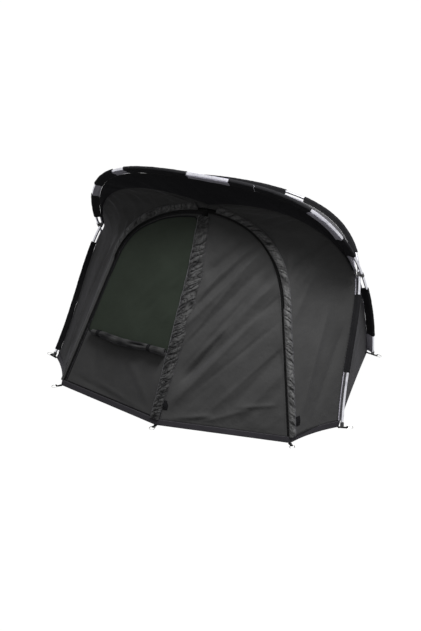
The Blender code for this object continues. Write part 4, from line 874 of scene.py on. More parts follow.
def seam_between(hoop, cross, drop, start=None, count=ROOF_STEPS + 1):
    """The seam over a hoop's crown, or up its left leg from a start, clear of the crossings."""
    if start is None:
        return hoop.seam(hoop.length - cross + CROSSING_CLEARANCE, cross - CROSSING_CLEARANCE, drop, count)
    return hoop.seam(start, hoop.length - cross - CROSSING_CLEARANCE, drop, count)


front_seam = seam_between(FRONT, FRONT_CROSS, FRONT_DROP)
rear_seam = seam_between(REAR, REAR_CROSS, REAR_DROP)
roof_cut = belly(faced(ruled(front_seam, rear_seam, ROOF_ROWS + 1)), ROOF_SAG)
roof = push(roof_cut, seam_wrinkles(roof_cut, 3))
dress(lay_cloth("roof_cloth", roof, SHELL, sewn="bt"), roof_cut, ["roof_panel"], ["front_pole_3", "rear_pole_3"])

# %% The back
BACK_ROWS, PEG_PULL, PEG_PULL_WIDTH = 80, 0.006, 0.035
leg = seam_between(FRONT, FRONT_CROSS, FRONT_DROP, FRONT.foot(PANEL_FOOT, FRONT_DROP), BACK_ROWS + 1)
back_hem = np.concatenate([hem_edge(k, PANEL_FOOT, ROOF_STEPS // 3 + 1)[:-1] for k in (3, 4, 5)]
                          + [corners(PANEL_FOOT)[6][None]])[::-1]
back_cut = belly(faced(patch(back_hem, rear_seam, leg, mirrored(leg))), BACK_SAG)
heights = seam_wrinkles(back_cut, 21, 0.004, 0.22, 0.075)
across, up = edge_share(back_cut)
for corner in (1 / 3, 2 / 3):
    pull = np.exp(-((across - corner) / PEG_PULL_WIDTH) ** 2) * ramp(up, 0.0, 0.03) * (1 - ramp(up, 0.2, 0.95))
    heights = heights + PEG_PULL * pull
dress(lay_cloth("back_cloth", push(back_cut, heights), SHELL), back_cut, ["back_panel"], ["rear_pole_3", "hem_band"])

# %% The side panels
SIDE_COLUMNS, SIDE_WRINKLES = 41, 0.0025
other_leg = seam_between(REAR, REAR_CROSS, REAR_DROP, REAR.foot(PANEL_FOOT, REAR_DROP), BACK_ROWS + 1)
for name, side in (("right_side", 1), ("left_side", -1)):
    panel = ruled(mirrored(other_leg), mirrored(leg), SIDE_COLUMNS).transpose(1, 0, 2)
    panel = belly(faced(on_side(panel, side)), SIDE_SAG)
    across, up = edge_share(panel)
    wrinkles = SIDE_WRINKLES * streaks(*thread_lengths(panel), math.radians(64), 0.05, 5.0, 33 + side)
    cloth = lay_cloth(f"{name}_cloth", push(panel, wrinkles * np.sin(math.pi * across) * ramp(up, 0.0, 0.05)), SHELL)
    dress(cloth, panel, [f"{name}_panel"], ["front_pole_1", "hem_band"])

# %% [markdown]
# ## The brow
# The brow is the dark band under the front hoop that shades the doors. Its
# lower edge is a curve drawn in the hoop's own plane. It is blacker cloth
# than the shell, gathered a little towards the two crossings.

# %% The brow
BROW_HANDLES = np.array(((0.870, 1.360), (0.660, 1.790), (0.0, 1.554)))
BROW_BELLY, BROW_INSET, BROW_ROWS = 0.006, 0.002, 33


def brow_line(count):
    """The lower edge of the brow from the right crossing to the middle."""
    start = FRONT.at(FRONT_CROSS, FRONT_DROP)
    handles = FRONT.lift(BROW_HANDLES)
    handles[:, 1] += FRONT_HOOP[1]
    return resample(bezier((start, *handles)), count)


half = resample(brow_line(600)[51:], ROOF_STEPS // 2)
valley = np.concatenate((mirrored(half), half[::-1][1:]))
edge = front_seam[1:-1]
brow_cut = ruled(valley, edge - BROW_INSET * unit(edge - valley), BROW_ROWS)
brow_cut = brow_cut[:, ::-1] if raw_normals(brow_cut)[..., 1].sum() > 0 else brow_cut
u, v = thread_lengths(brow_cut)
across, up = edge_share(brow_cut)
ends = np.exp(-across / 0.10) + np.exp(-(1 - across) / 0.10)
heights = (0.002 + 0.006 * ends) * rumple(u, 0.25 * v, 0.045, 41) * ramp(up, 0.0, 0.15) * ramp(1 - up, 0.0, 0.15)
heights += BROW_BELLY * np.sin(math.pi * up)
brow = brow_cut + heights[..., None] * unit(raw_normals(brow_cut))
dress(lay_cloth("brow_cloth", brow, DARK, sewn="bt"), brow_cut, ["brow"], ["front_pole_3"], slot="sleeve_cloth")

# %% [markdown]
# ## The wings
# A wing fills the space from a zip arch to the hoop's leg, round the crossing
# and up to the brow. It is one sheet. Below the crossing it has a few long
# folds, and above it short wrinkles slant up from the gathered flap to the
# brow, because that edge was sewn shorter.

# %% Cut a wing
WING_FINE, HEM_FINE, SEWN_COLUMNS, FREE_COLUMNS, WING_CLEARANCE = 8, 600, 6, 46, 0.0015


def wing_cut(leaf):
    """The wing's places between the arch and the outer seam."""
    line, inward = leaf.arch(WING_FINE)
    inner = leaf.place(line - (ZIP_HALF + WING_CLEARANCE) * inward)
    outer_leg = REAR.seam(REAR.length - REAR.foot(PANEL_FOOT, REAR_DROP), REAR_CROSS + CROSSING_CLEARANCE,
                          REAR_DROP, LEG_STEPS * WING_FINE + 1)
    brow_edge = brow_line(CURVE_STEPS * WING_FINE + 1)
    brow_edge[0] += CROSSING_CLEARANCE * unit(brow_edge[1] - brow_edge[0])
    outer = on_side(np.concatenate((outer_leg, brow_edge[1:])), leaf.side)
    hem = on_side(hem_edge(1, PANEL_FOOT, HEM_FINE + 1), leaf.side)
    sag = hem - np.linspace(hem[0], hem[-1], HEM_FINE + 1)
    free = np.linspace(0.0, 1.0, FREE_COLUMNS + 1)[1:]
    rows = []
    for j, (a, b) in enumerate(zip(inner, outer)):
        fade = max(0.0, 1.0 - j / (LEG_STEPS * WING_FINE)) ** 2
        width = np.linalg.norm(b - a)
        sewn = min(FLAP_WIDTH - ZIP_HALF, 0.8 * width) / width
        shares = np.concatenate((np.linspace(0.0, sewn, SEWN_COLUMNS), sewn + (1 - sewn) * free))
        bend = sag[np.rint(shares * HEM_FINE).astype(int)]
        rows.append((1 - shares)[:, None] * a + shares[:, None] * b + fade * bend)
    grid = np.array(rows)
    share = np.concatenate((np.zeros(SEWN_COLUMNS), free))[None, :]
    rise = np.sin(np.linspace(0.0, math.pi, len(rows)))[:, None]
    return grid - (WING_SAG * rise * np.sin(math.pi * share))[..., None] * normals_of(grid)


print("places on a wing", wing_cut(RIGHT).shape[:2])

# %% Lay the wings
RELAX_TURNS, SHORT_WRINKLES, SHORT_REACH = 60, 0.0140, 0.34
WING_FOLDS = {
    "right_wing": (((0.10, 0.12), (0.34, 0.80), 0.012, 0.030, 1.7), ((0.20, 0.08), (0.44, 0.62), -0.010, 0.034, 1.5),
                   ((0.06, 0.70), (0.26, 1.05), 0.008, 0.024, 1.6), ((0.08, 0.98), (0.30, 1.24), -0.008, 0.022, 1.6)),
    "left_wing": (((0.16, 0.10), (0.09, 1.00), 0.026, 0.038, 1.9), ((0.24, 0.10), (0.18, 0.95), -0.012, 0.035)),
}
WING_CUTS = {}
for leaf, name, seed in ((RIGHT, "right_wing", 51), (LEFT, "left_wing", 61)):
    cut = WING_CUTS[name] = relax(wing_cut(leaf), RELAX_TURNS, SEWN_COLUMNS)
    u, v = thread_lengths(cut)
    away = u - u[:, SEWN_COLUMNS - 1:SEWN_COLUMNS]
    up = edge_share(cut)[1]
    top = ramp(up, 0.44, 0.60) * (1 - ramp(up, 0.90, 0.99))
    near = ramp(away, 0.0, 0.03) * ramp(u[:, -1:] - u, 0.0, 0.02)
    short = streaks(u, v, math.radians(52), 0.030, 6.0, seed) * np.exp(-np.maximum(away, 0) / SHORT_REACH)
    long = 0.0035 * streaks(u, v, math.radians(80), 0.10, 5.0, seed + 1) + 0.0040 * rumple(u, v, 0.20, seed + 2)
    heights = near * (SHORT_WRINKLES * top * short + long * ramp(up, 0.0, 0.1))
    heights += folds(np.stack((u, v), -1), WING_FOLDS[name])
    grid = push(cut, heights * (1 - ramp(up, 0.96, 1.0)))
    dress(lay_cloth(f"{name}_cloth", faced(grid), SHELL), cut, [name], ["rear_pole_1", "hem_band"])

# %% [markdown]
# ## The right leaf
# The right leaf hangs from its arch and is pulled down at the foot of the
# middle zip, so long folds fan out from there up to the arch. Each one is put
# where it lies on the cloth, a ridge beside a valley, and the rest is a soft
# unevenness. They could also be sculpted, but a list of folds can be read.

# %% Cut a leaf
LEAF_FINE, LEAF_TOP_STEPS = 10, 8


def leaf_cut(leaf):
    """The leaf's cloth between its zip tapes, as leaf places."""
    inner = ZIP_HALF + ZIP_GAP
    line, inward = leaf.arch(LEAF_FINE)
    edge = line + inner * inward
    far = edge @ leaf.over
    last = int(np.nonzero(far > inner)[0][-1])
    share = (inner - far[last]) / (far[last + 1] - far[last])
    end = edge[last] + share * (edge[last + 1] - edge[last])
    edge = np.concatenate((edge[:last + 1], end[None]))
    foot = leaf.seam_at(PANEL_FOOT)
    low = foot + leaf.over * inner
    low += leaf.seam * (foot[1] - low[1]) / leaf.seam[1]
    corner = CORNER_STEP * LEAF_FINE
    right, top = edge[:corner + 1], resample(edge[corner:][::-1], LEAF_TOP_STEPS * LEAF_FINE + 1)
    left = np.linspace(low, edge[-1], len(right))
    bottom = np.linspace(low, edge[0], len(top))
    return patch(bottom, top, left, right)


print("places on a leaf", leaf_cut(RIGHT).shape[:2])

# %% Lay the right leaf, with its folds
FOLD_DEPTH, FOLD_SHARPNESS, LEAF_BELLY = 3.1, 1.6, 0.006
RIGHT_FOLDS = (
    ((0.10, 0.26), (0.71, 0.93), -0.0085, 0.030), ((0.06, 0.10), (0.62, 0.83), 0.0085, 0.036),
    ((0.14, 0.30), (0.36, 0.63), -0.0065, 0.026), ((0.34, 0.59), (0.62, 1.05), -0.0065, 0.028),
    ((0.16, 0.40), (0.66, 1.00), 0.0060, 0.030), ((0.03, 0.54), (0.55, 1.18), 0.0070, 0.032),
    ((0.10, 0.70), (0.52, 1.20), -0.0045, 0.022), ((0.14, 0.80), (0.50, 1.22), 0.0045, 0.022),
    ((0.20, 0.97), (0.42, 1.22), -0.0045, 0.020), ((0.08, 0.47), (0.58, 1.10), -0.0050, 0.024),
    ((0.44, 0.14), (0.77, 0.62), -0.0045, 0.040), ((0.52, 0.12), (0.79, 0.46), 0.0040, 0.034),
    ((0.08, 0.045), (0.34, 0.105), 0.0040, 0.012), ((0.30, 0.06), (0.56, 0.17), 0.0030, 0.014),
    ((0.48, 0.17), (0.74, 0.22), 0.0030, 0.012),
    ((0.05, 0.12), (0.66, 0.90), 0.0026, 0.010), ((0.12, 0.36), (0.50, 0.90), -0.0026, 0.010),
    ((0.10, 0.50), (0.45, 1.05), 0.0022, 0.009), ((0.30, 0.10), (0.74, 0.60), 0.0022, 0.010),
    ((0.20, 0.22), (0.70, 0.74), -0.0022, 0.010), ((0.06, 0.62), (0.34, 1.08), 0.0022, 0.009),
)
flat = leaf_cut(RIGHT)
u, v = thread_lengths(RIGHT.place(flat))
across, up = edge_share(flat)
heights = FOLD_DEPTH * folds(flat, RIGHT_FOLDS, sharp=FOLD_SHARPNESS) + 0.0030 * rumple(u, v, 0.16, 71)
heights += 0.0032 * streaks(u, v, math.radians(50), 0.045, 5.0, 72)
heights += 0.0010 * streaks(u, v, math.radians(56), 0.016, 9.0, 73)
heights = heights * edge_hold(across, up) + LEAF_BELLY * bulge(across, up)
right_leaf = lay_cloth("right_leaf_cloth", faced(RIGHT.place(flat, heights)), SHELL)
dress(right_leaf, RIGHT.place(flat), ["right_leaf_panel"], ["right_arch_leaf_zip", "centre_right_zip"], "right_leaf")

# %% [markdown]
# ## The left leaf and its window
# The left leaf is mostly window: a fine net sewn behind an opening with round
# top corners. The opening is cut in the cloth, a bound edge runs round it,
# and the net lies just behind.

# %% Where the window is open
flat = leaf_cut(LEFT)
across, up = edge_share(flat)
world = LEFT.place(flat)
u, v = thread_lengths(world)
WINDOW_SEAM, WINDOW_SIDE, WINDOW_TOP, WINDOW_ROUND, WINDOW_FOOT_ROUND = 0.020, 0.007, 0.028, 0.055, 0.020
ROLL_ENDS = np.array(((0.690, 0.408), (0.095, 0.446)))
roll_way = unit(ROLL_ENDS[1] - ROLL_ENDS[0])
sides = u - WINDOW_SEAM, u[:, -1:] - u - WINDOW_SIDE
top_and_foot = ((v[-1:] - v - WINDOW_TOP, WINDOW_ROUND),
                ((flat - ROLL_ENDS[0]) @ np.array((roll_way[1], -roll_way[0])) + 0.004, WINDOW_FOOT_ROUND))


def rounded(first, second, radius):
    """Distance inside a corner of a given roundness."""
    corner = np.minimum(first, second)
    both = (first < radius) & (second < radius)
    curve = radius - np.hypot(radius - first, radius - second)
    return np.where(both, curve, corner)


inside = np.minimum.reduce([rounded(side, other, radius) for other, radius in top_and_foot for side in sides])
cell_inside = (inside[:-1, :-1] + inside[1:, 1:] + inside[:-1, 1:] + inside[1:, :-1]) / 4
print("cells in the window", int((cell_inside > 0).sum()))

# %% Lay the left leaf, with the window cut out
LEFT_FOLDS = (
    ((0.10, 0.10), (0.40, 0.36), 0.0045, 0.030), ((0.05, 0.04), (0.55, 0.12), 0.0035, 0.016),
    ((0.25, 0.04), (0.76, 0.10), -0.0035, 0.018), ((0.55, 0.10), (0.66, 0.38), -0.0030, 0.030),
)
heights = folds(flat, LEFT_FOLDS) + 0.0020 * rumple(u, v, 0.15, 81)
left_heights = heights * edge_hold(across, up) + 0.004 * bulge(across, up)
cells = np.linalg.norm(np.cross(world[:-1, 1:] - world[:-1, :-1], world[1:, :-1] - world[:-1, :-1]), axis=-1)


def lay_on_left_leaf(name, heights, holes, material, nodes, rests_on, thickness=0.0016, slot="shell_cloth"):
    """One layer of the left leaf with some of its cells cut away."""
    grid = LEFT.place(flat, heights)
    cloth = lay_cloth(name, faced(grid), material, thickness, holes=faced(holes, grid))
    dress(cloth, world, nodes, rests_on, "left_leaf", slot, area=float(cells[~holes].sum()))


lay_on_left_leaf("left_leaf_cloth", left_heights, cell_inside > 0, EDGE_SHADED, ["left_leaf_panel"],
                 ["left_arch_leaf_zip", "centre_left_zip"])

# %% The window net
NET_BEHIND, NET_MARGIN = 0.0030, 0.012
NET_FOLDS = (((0.30, 0.70), (0.12, 1.00), 0.0050, 0.022), ((0.38, 0.62), (0.16, 0.90), -0.0045, 0.024),
             ((0.50, 0.60), (0.20, 1.05), 0.0035, 0.030), ((0.20, 0.60), (0.08, 0.84), 0.0040, 0.020))
net_heights = folds(flat, NET_FOLDS) + 0.0016 * rumple(u, v, 0.12, 83)
lay_on_left_leaf("window_net", left_heights - NET_BEHIND + net_heights * ramp(inside, 0.0, 0.08),
                 cell_inside < -NET_MARGIN, NET, ["window_mesh"], ["left_leaf_cloth"], 0.0008, "window_mesh")

# %% [markdown]
# ## The bound edge of the window
# A narrow tape is folded over the raw edge of the opening and sewn down. A
# line is traced round the opening at its own height over the cloth, and the
# tape's low section is swept along it.

# %% Trace the window's edge and bind it
def tape_round(line, normal, width, thickness):
    """A flat tape laid along a closed line, its face along one normal."""
    sides = unit(np.cross(np.roll(line, -1, axis=0) - np.roll(line, 1, axis=0), normal))
    section = np.array(((-0.5, 0.0), (-0.42, 0.8), (0.0, 1.0), (0.42, 0.8), (0.5, 0.0)))
    return closed(line[:, None] + width * section[None, :, :1] * sides[:, None]
                  + thickness * section[None, :, 1:] * normal)


WINDOW_MIDDLE, BINDING_PLACES, BINDING_WIDTH, BINDING_RISE = np.array((0.40, 0.78)), 260, 0.008, 0.0014


def window_edge_line():
    """Leaf places round the opening, found by walking rays from its middle."""
    away, value = flat.reshape(-1, 2) - WINDOW_MIDDLE, inside.reshape(-1)
    line = []
    for angle in np.linspace(0.0, 2 * math.pi, BINDING_PLACES, endpoint=False):
        ray = np.array((math.cos(angle), math.sin(angle)))
        reach = away @ ray
        near = (np.abs(away @ np.array((-ray[1], ray[0]))) < 0.010) & (reach > 0.05)
        order = np.argsort(reach[near])
        reaches, values = reach[near][order], value[near][order]
        out = np.nonzero(values < 0)[0]
        line.append(WINDOW_MIDDLE + reaches[out[0] if len(out) else -1] * ray)
    line = np.array(line)
    for _ in range(6):
        line = (np.roll(line, 1, axis=0) + 2 * line + np.roll(line, -1, axis=0)) / 4
    return line


edge_flat = window_edge_line()
near = np.array([np.argmin(((flat.reshape(-1, 2) - spot) ** 2).sum(1)) for spot in edge_flat])
edge_line = LEFT.place(edge_flat, left_heights.reshape(-1)[near] + 0.0004)
tape = tape_round(edge_line, LEFT.out, BINDING_WIDTH, BINDING_RISE)
binding = lay_cloth("window_binding", tape, DARK, 0.0006, "lr")
trim(binding, "left_leaf_cloth", "left_leaf", "sleeve_cloth")
print("binding length", round(float(lengths(edge_line)[-1]), 3))

# %% [markdown]
# ## The zip tapes
# A coil zip is a woven tape with a spiral of nylon sewn along one edge. At
# this size the coil reads as a fine ribbed cord, so each half is one bar with
# the tape's section, run along the zip, and the teeth are in its finish.

# %% Run the tapes along the zips
COIL_WIDTH, COIL_RISE, COIL_DEPTH, TAPE_THICKNESS = 0.0045, 0.0008, 0.0036, 0.0016
TAPE_SPLIT, LEAF_TAPE_START, TAPE_BEHIND = 0.00015, 0.0048, 0.00125
ZIP_FINE, CENTRE_ROWS = 20, 240
CENTRE_SPLIT = TAPE_SPLIT + COIL_DEPTH * abs(RIGHT.out[0])


def zip_tape(name, leaf, line, over, into, near=TAPE_SPLIT, start=COIL_DEPTH / 2):
    """Half a zip. A positive side lies in the leaf."""
    far, front, back = ZIP_HALF - ZIP_GAP, TAPE_THICKNESS / 2 - TAPE_BEHIND, -TAPE_THICKNESS / 2 - TAPE_BEHIND
    section = ((near, -COIL_DEPTH), (near, -0.001), (near + 0.0012, COIL_RISE), (COIL_WIDTH - 0.001, COIL_RISE),
               (COIL_WIDTH, front), (far, front), (far, back), (COIL_WIDTH, back), (COIL_WIDTH, -COIL_DEPTH),
               (near, -COIL_DEPTH))
    line = line.copy()
    line[0] += start * unit(line[1] - line[0])
    rings = np.stack([leaf.place(line + into * d * over, h) for d, h in section], axis=1)
    return lay_cloth(name, rings, ZIP, thickness=0.0, sewn="b")


for side, leaf, body in (("right", RIGHT, "right_leaf"), ("left", LEFT, "left_leaf")):
    line, inward = leaf.arch(ZIP_FINE)
    line[-1] += (ZIP_GAP + COIL_DEPTH * abs(leaf.out[0])) * leaf.over
    wing_tape = zip_tape(f"{side}_arch_wing_zip", leaf, line, inward, -1.0)
    trim(wing_tape, f"{side}_wing_cloth", "tent", "zip_coil", f"{side}_arch_wing_tape")
    leaf_tape = zip_tape(f"{side}_arch_leaf_zip", leaf, line, inward, 1.0, start=LEAF_TAPE_START)
    trim(leaf_tape, f"{side}_leaf_cloth", body, "zip_coil", f"{side}_arch_leaf_tape")
    line = np.linspace(leaf.seam_at(PANEL_FOOT), leaf.seam * (ARCH_CROWN - ZIP_HALF - ZIP_GAP), CENTRE_ROWS)
    middle = zip_tape(f"centre_{side}_zip", leaf, line, leaf.over, 1.0, CENTRE_SPLIT)
    trim(middle, f"{side}_leaf_cloth", body, "zip_coil", f"centre_{side}_tape")
print("zip tapes", 6)

# %% [markdown]
# ## The gathered flaps
# A flap covers each zip against rain. It is sewn shorter than its cloth, so
# it puckers all along: round bulges with a sharp crease between them, slanted
# across the band. Noise whose size is stretched along the slant gives them.

# %% Gathers
def gathers(along, across, pitch, slant, seed):
    """Puckers from 0 to 1: round bulges between sharp creases that slant across a band."""
    a = along + slant * across + 0.35 * pitch * rumple(along, across, 2.3 * pitch, seed + 3)
    large, small = (np.clip(1.9 * np.abs(rumple(a, stretch * across, size, seed + more)), 0.0, 1.0) ** 0.7
                    for stretch, size, more in ((0.30, pitch, 0), (0.75, pitch / 1.9, 7)))
    return 0.58 * large + 0.42 * small


print("puckers, 1 cm apart", np.round(gathers(0.01 * np.arange(5), np.zeros(5), 0.022, 0.0, 91), 2))

# %% Cut an arch flap, and gather it
FLAP_RISE, FLAP_SEWN_RISE, FLAP_STANDOFF, FLAP_CROWN_STOP = 0.0045, 0.0008, 0.0065, 0.062
# The last number is the level of the pucker map where neither shade nor highlight is painted.
FLAP_ROWS, FLAP_COLUMNS, FLAP_PITCH, FLAP_SLANT, UNPAINTED_LEVEL = 560, 20, 0.022, 0.9, 0.7


def arch_flap(leaf, cut, ruche, height, seed):
    """The flap's cut, the flap with its gathers, and the pucker map that paints shade and highlight on it."""
    line, inward = leaf.arch(WING_FINE)
    along = lengths(line)
    arcs = np.linspace(0.0, along[-1] - FLAP_CROWN_STOP, FLAP_ROWS)
    normals = normals_of(cut)
    centre, into, first, sewn, near_normal, sewn_normal = (
        read_at(arcs, along, table) for table in (line, inward, cut[:, 0], cut[:, SEWN_COLUMNS - 1], normals[:, 0],
                                                  normals[:, SEWN_COLUMNS - 1]))
    into, sewn_normal, lift = unit(into), unit(sewn_normal), unit(leaf.out + unit(near_normal))
    width = np.linalg.norm(sewn - first, axis=1)
    rise = FLAP_SEWN_RISE + (FLAP_RISE - FLAP_SEWN_RISE) * np.minimum(1.0, width / (FLAP_WIDTH - ZIP_HALF))
    past = arcs - along[LEG_STEPS * WING_FINE]
    stand = FLAP_STANDOFF * ramp(past, -0.036, 0.0) * (1 - ramp(past, 0.22, 0.38))
    rise = rise[:, None]
    rows = np.stack([
        leaf.place(centre - (0.0006 + stand)[:, None] * into, COIL_RISE + rise[:, 0]),
        first + (rise + COIL_RISE) * lift,
        (first + sewn) / 2 + rise * sewn_normal,
        sewn + FLAP_SEWN_RISE * sewn_normal,
    ], axis=1)
    steps = np.linspace(0.0, 3.0, FLAP_COLUMNS)
    k = np.minimum(steps.astype(int), 2)
    share = (steps - k)[None, :, None]
    grid = (1 - share) * rows[:, k] + share * rows[:, k + 1]
    across = thread_lengths(grid)[0]
    wide = np.clip(across / across[:, -1:], 0.0, 1.0)
    bell = np.sin(math.pi * (0.04 + 0.96 * wide)) ** 0.55
    amount = ramp(arcs / along[-1], *ruche)[:, None]
    places = np.repeat(arcs[:, None], FLAP_COLUMNS, axis=1)
    pucker = gathers(places, across, FLAP_PITCH, FLAP_SLANT * leaf.side, seed)
    calm = rumple(places, across, 0.05, seed)
    heights = bell * (0.0010 + height * amount * pucker + 0.0012 * (1 - amount) * calm)
    # Where the flap is gathered, its puckers set the painted shade in the creases and the painted highlight on the
    # crests.
    shown = amount * np.minimum(1.0, 1.5 * np.sin(math.pi * (0.06 + 0.88 * wide)))
    return grid, grid + heights[..., None] * lift[:, None], UNPAINTED_LEVEL + (pucker - UNPAINTED_LEVEL) * shown


print("a flap stops short of the crown by", FLAP_CROWN_STOP)

# %% Lay the two arch flaps, each with a round hem
FLAP_THICKNESS, HEM_RADIUS = 0.0012, 0.0019


def rod(name, places, radii, material):
    """A round rod along a line, with a radius at each place."""
    curve = bpy.data.curves.new(name, "CURVE")
    curve.dimensions, curve.bevel_depth, curve.bevel_resolution = "3D", 1.0, 5
    curve.use_fill_caps = True
    spline = curve.splines.new("POLY")
    spline.points.add(len(places) - 1)
    spline.points.foreach_set("co", np.column_stack((places, np.ones(len(places)))).ravel())
    spline.points.foreach_set("radius", radii)
    obj = new_object(name + "_curve", curve)
    mesh = bpy.data.meshes.new_from_object(obj.evaluated_get(bpy.context.evaluated_depsgraph_get()))
    bpy.data.objects.remove(obj)
    mesh.name = name
    mesh.materials.clear()
    mesh.materials.append(material)
    mesh.shade_smooth()
    return new_object(name, mesh)


def flap_hem(name, line, cloth, body, material, radius=HEM_RADIUS):
    """The rolled hem along a flap's free edge."""
    piece = rod(name, line, np.full(len(line), radius), material)
    for label in ("threads", "seams"):
        if label not in piece.data.uv_layers:
            piece.data.uv_layers.new(name=label)
    trim(piece, cloth, body, "shell_cloth")


def lay_flap(name, cut, puckered, relief, material, nodes, rests_on, body):
    """A gathered flap with painted shade and highlight on its puckers, mounted over the cloth that it is sewn to."""
    flap = lay_cloth(name, faced(puckered), material, FLAP_THICKNESS, "lr", outward=True,
                     relief=faced(relief, puckered))
    dress(flap, cut, nodes, [rests_on], body, held="gathered")


for side, leaf, ruche, height, seed in (("right", RIGHT, (-1.0, 0.0), 0.0130, 91),
                                        ("left", LEFT, (0.45, 0.65), 0.0105, 97)):
    name = f"{side}_arch_flap"
    cut, puckered, relief = arch_flap(leaf, WING_CUTS[f"{side}_wing"], ruche, height, seed)
    lay_flap(f"{name}_cloth", cut, puckered, relief, LIGHT_PAINTED_GATHERS, [name], f"{side}_wing_cloth", "tent")
    flap_hem(f"{name}_hem", puckered[:, 0] + 0.0006 * leaf.out, f"{name}_cloth", "tent", SHELL)

# %% [markdown]
# ## The middle band
# The ruched band over the middle zip is in two halves that meet on the seam,
# one on each leaf, so each swings with its own leaf. One function gives the
# height of both, and the creases run on across the seam. The right half is
# the flap, wide at its middle. The left half ends in a folded hem.

# %% The middle band's widths and heights
CENTRE_FLAP_STOP, BAND_WIDTH = 0.038, 0.050
BAND_SHARES = ((0.0, 1.0), (0.26, 0.86), (0.48, 0.74), (0.71, 0.62), (0.85, 0.78), (1.0, 1.0))
BAND_ROWS, BAND_COLUMNS, BAND_HEM_RISE, BAND_HEIGHT, BAND_PITCH = 520, 20, 0.0016, 0.0115, 0.021
BAND_FOOT = RIGHT.seam_at(PANEL_FOOT)
BAND_TOP = RIGHT.seam * (ARCH_CROWN - CENTRE_FLAP_STOP)
climb = np.linspace(0.0, 1.0, BAND_ROWS)
along = (climb * np.linalg.norm(BAND_TOP - BAND_FOOT))[:, None]


def band_width(side, width, shares):
    """The width of one half of the band all the way up, with a wavy edge."""
    wide = width * np.interp(climb, *zip(*shares))
    return (wide + 0.0035 * rumple(along[:, 0], 0 * climb, 0.05, 105 + side) * ramp(wide, 0.01, 0.03))[:, None]


widths = {1: band_width(1, CENTRE_FLAP_WIDTH, CENTRE_FLAP_SHARES), -1: band_width(-1, BAND_WIDTH, BAND_SHARES)}


def band_heights(x):
    """Lift of the band at signed distances from the seam, and the pucker map that paints shade and highlight on it.
    """
    share = np.clip((x + widths[-1]) / (widths[1] + widths[-1]), 0.0, 1.0)
    rest = BAND_HEM_RISE + (FLAP_RISE - BAND_HEM_RISE) * ramp(share, 0.0, 0.16)
    rest = rest + (FLAP_SEWN_RISE - rest) * ramp(share, 0.86, 1.0)
    bell = np.sin(math.pi * share) ** 0.5
    pucker = gathers(along + 0 * x, x, BAND_PITCH, -0.85, 103)
    lift = bell * (0.0008 + BAND_HEIGHT * pucker + 0.0012 * rumple(along + 0 * x, x, 0.09, 107))
    # The puckers also set the painted shade in the creases and the painted highlight on the crests.
    return rest, lift, UNPAINTED_LEVEL + (pucker - UNPAINTED_LEVEL) * ramp(bell, 0.0, 0.7)


print("band", round(float(along[-1, 0]), 3), "long, at most",
      [round(float(wide.max()), 3) for wide in widths.values()], "wide")

# %% Lay both halves of the middle band
BAND_HEM_RADIUS = 0.0028
for side, leaf, name, nodes, body in ((1, RIGHT, "centre_flap", ["centre_flap"], "right_leaf"),
                                      (-1, LEFT, "centre_border", [], "left_leaf")):
    offsets = widths[side] * np.linspace(0.0, 1.0, BAND_COLUMNS)[None]
    rest, lift, relief = band_heights(side * offsets)
    slide = (0.0005 - (rest + lift) * abs(leaf.out[0])) / abs(leaf.over @ (leaf.p[0], leaf.q[0]))
    slide = slide * (1 - ramp(offsets, 0.0, 0.012))
    line = leaf.seam * (np.linalg.norm(BAND_FOOT) + along)[..., None] + (offsets + slide)[..., None] * leaf.over
    puckered = leaf.place(line, rest + lift)
    lay_flap(f"{name}_cloth", leaf.place(line, rest), puckered, relief, SHADE_PAINTED_GATHERS, nodes, f"{body}_cloth", body)
# Its hem takes the pale cloth, a painted highlight along the fold.
flap_hem("centre_border_hem", puckered[:, -1] + 0.0012 * leaf.out, "centre_border_cloth", body, HIGHLIT_HEM,
         BAND_HEM_RADIUS)

# %% [markdown]
# ## Sleeves and poles
# The shell hangs from the hoops by sleeves: a strip stands up from the seam
# and is folded over the pole in places, with bare pole between. The sleeve is
# a little long for its pole, so it gathers.

# %% Cut one strip of sleeves
FIN_HALF, FIN_FOOT, FIN_ROWS, ROUND_STEPS, SLEEVE_STEP = 0.0006, 0.0008, 4, 15, 0.007
PUCKER_GROWTH, PUCKER_PITCH, FIN_WAVE, VEIL_TOP, VEIL_LEG = 0.16, 0.030, 0.0022, 0.25, 0.40


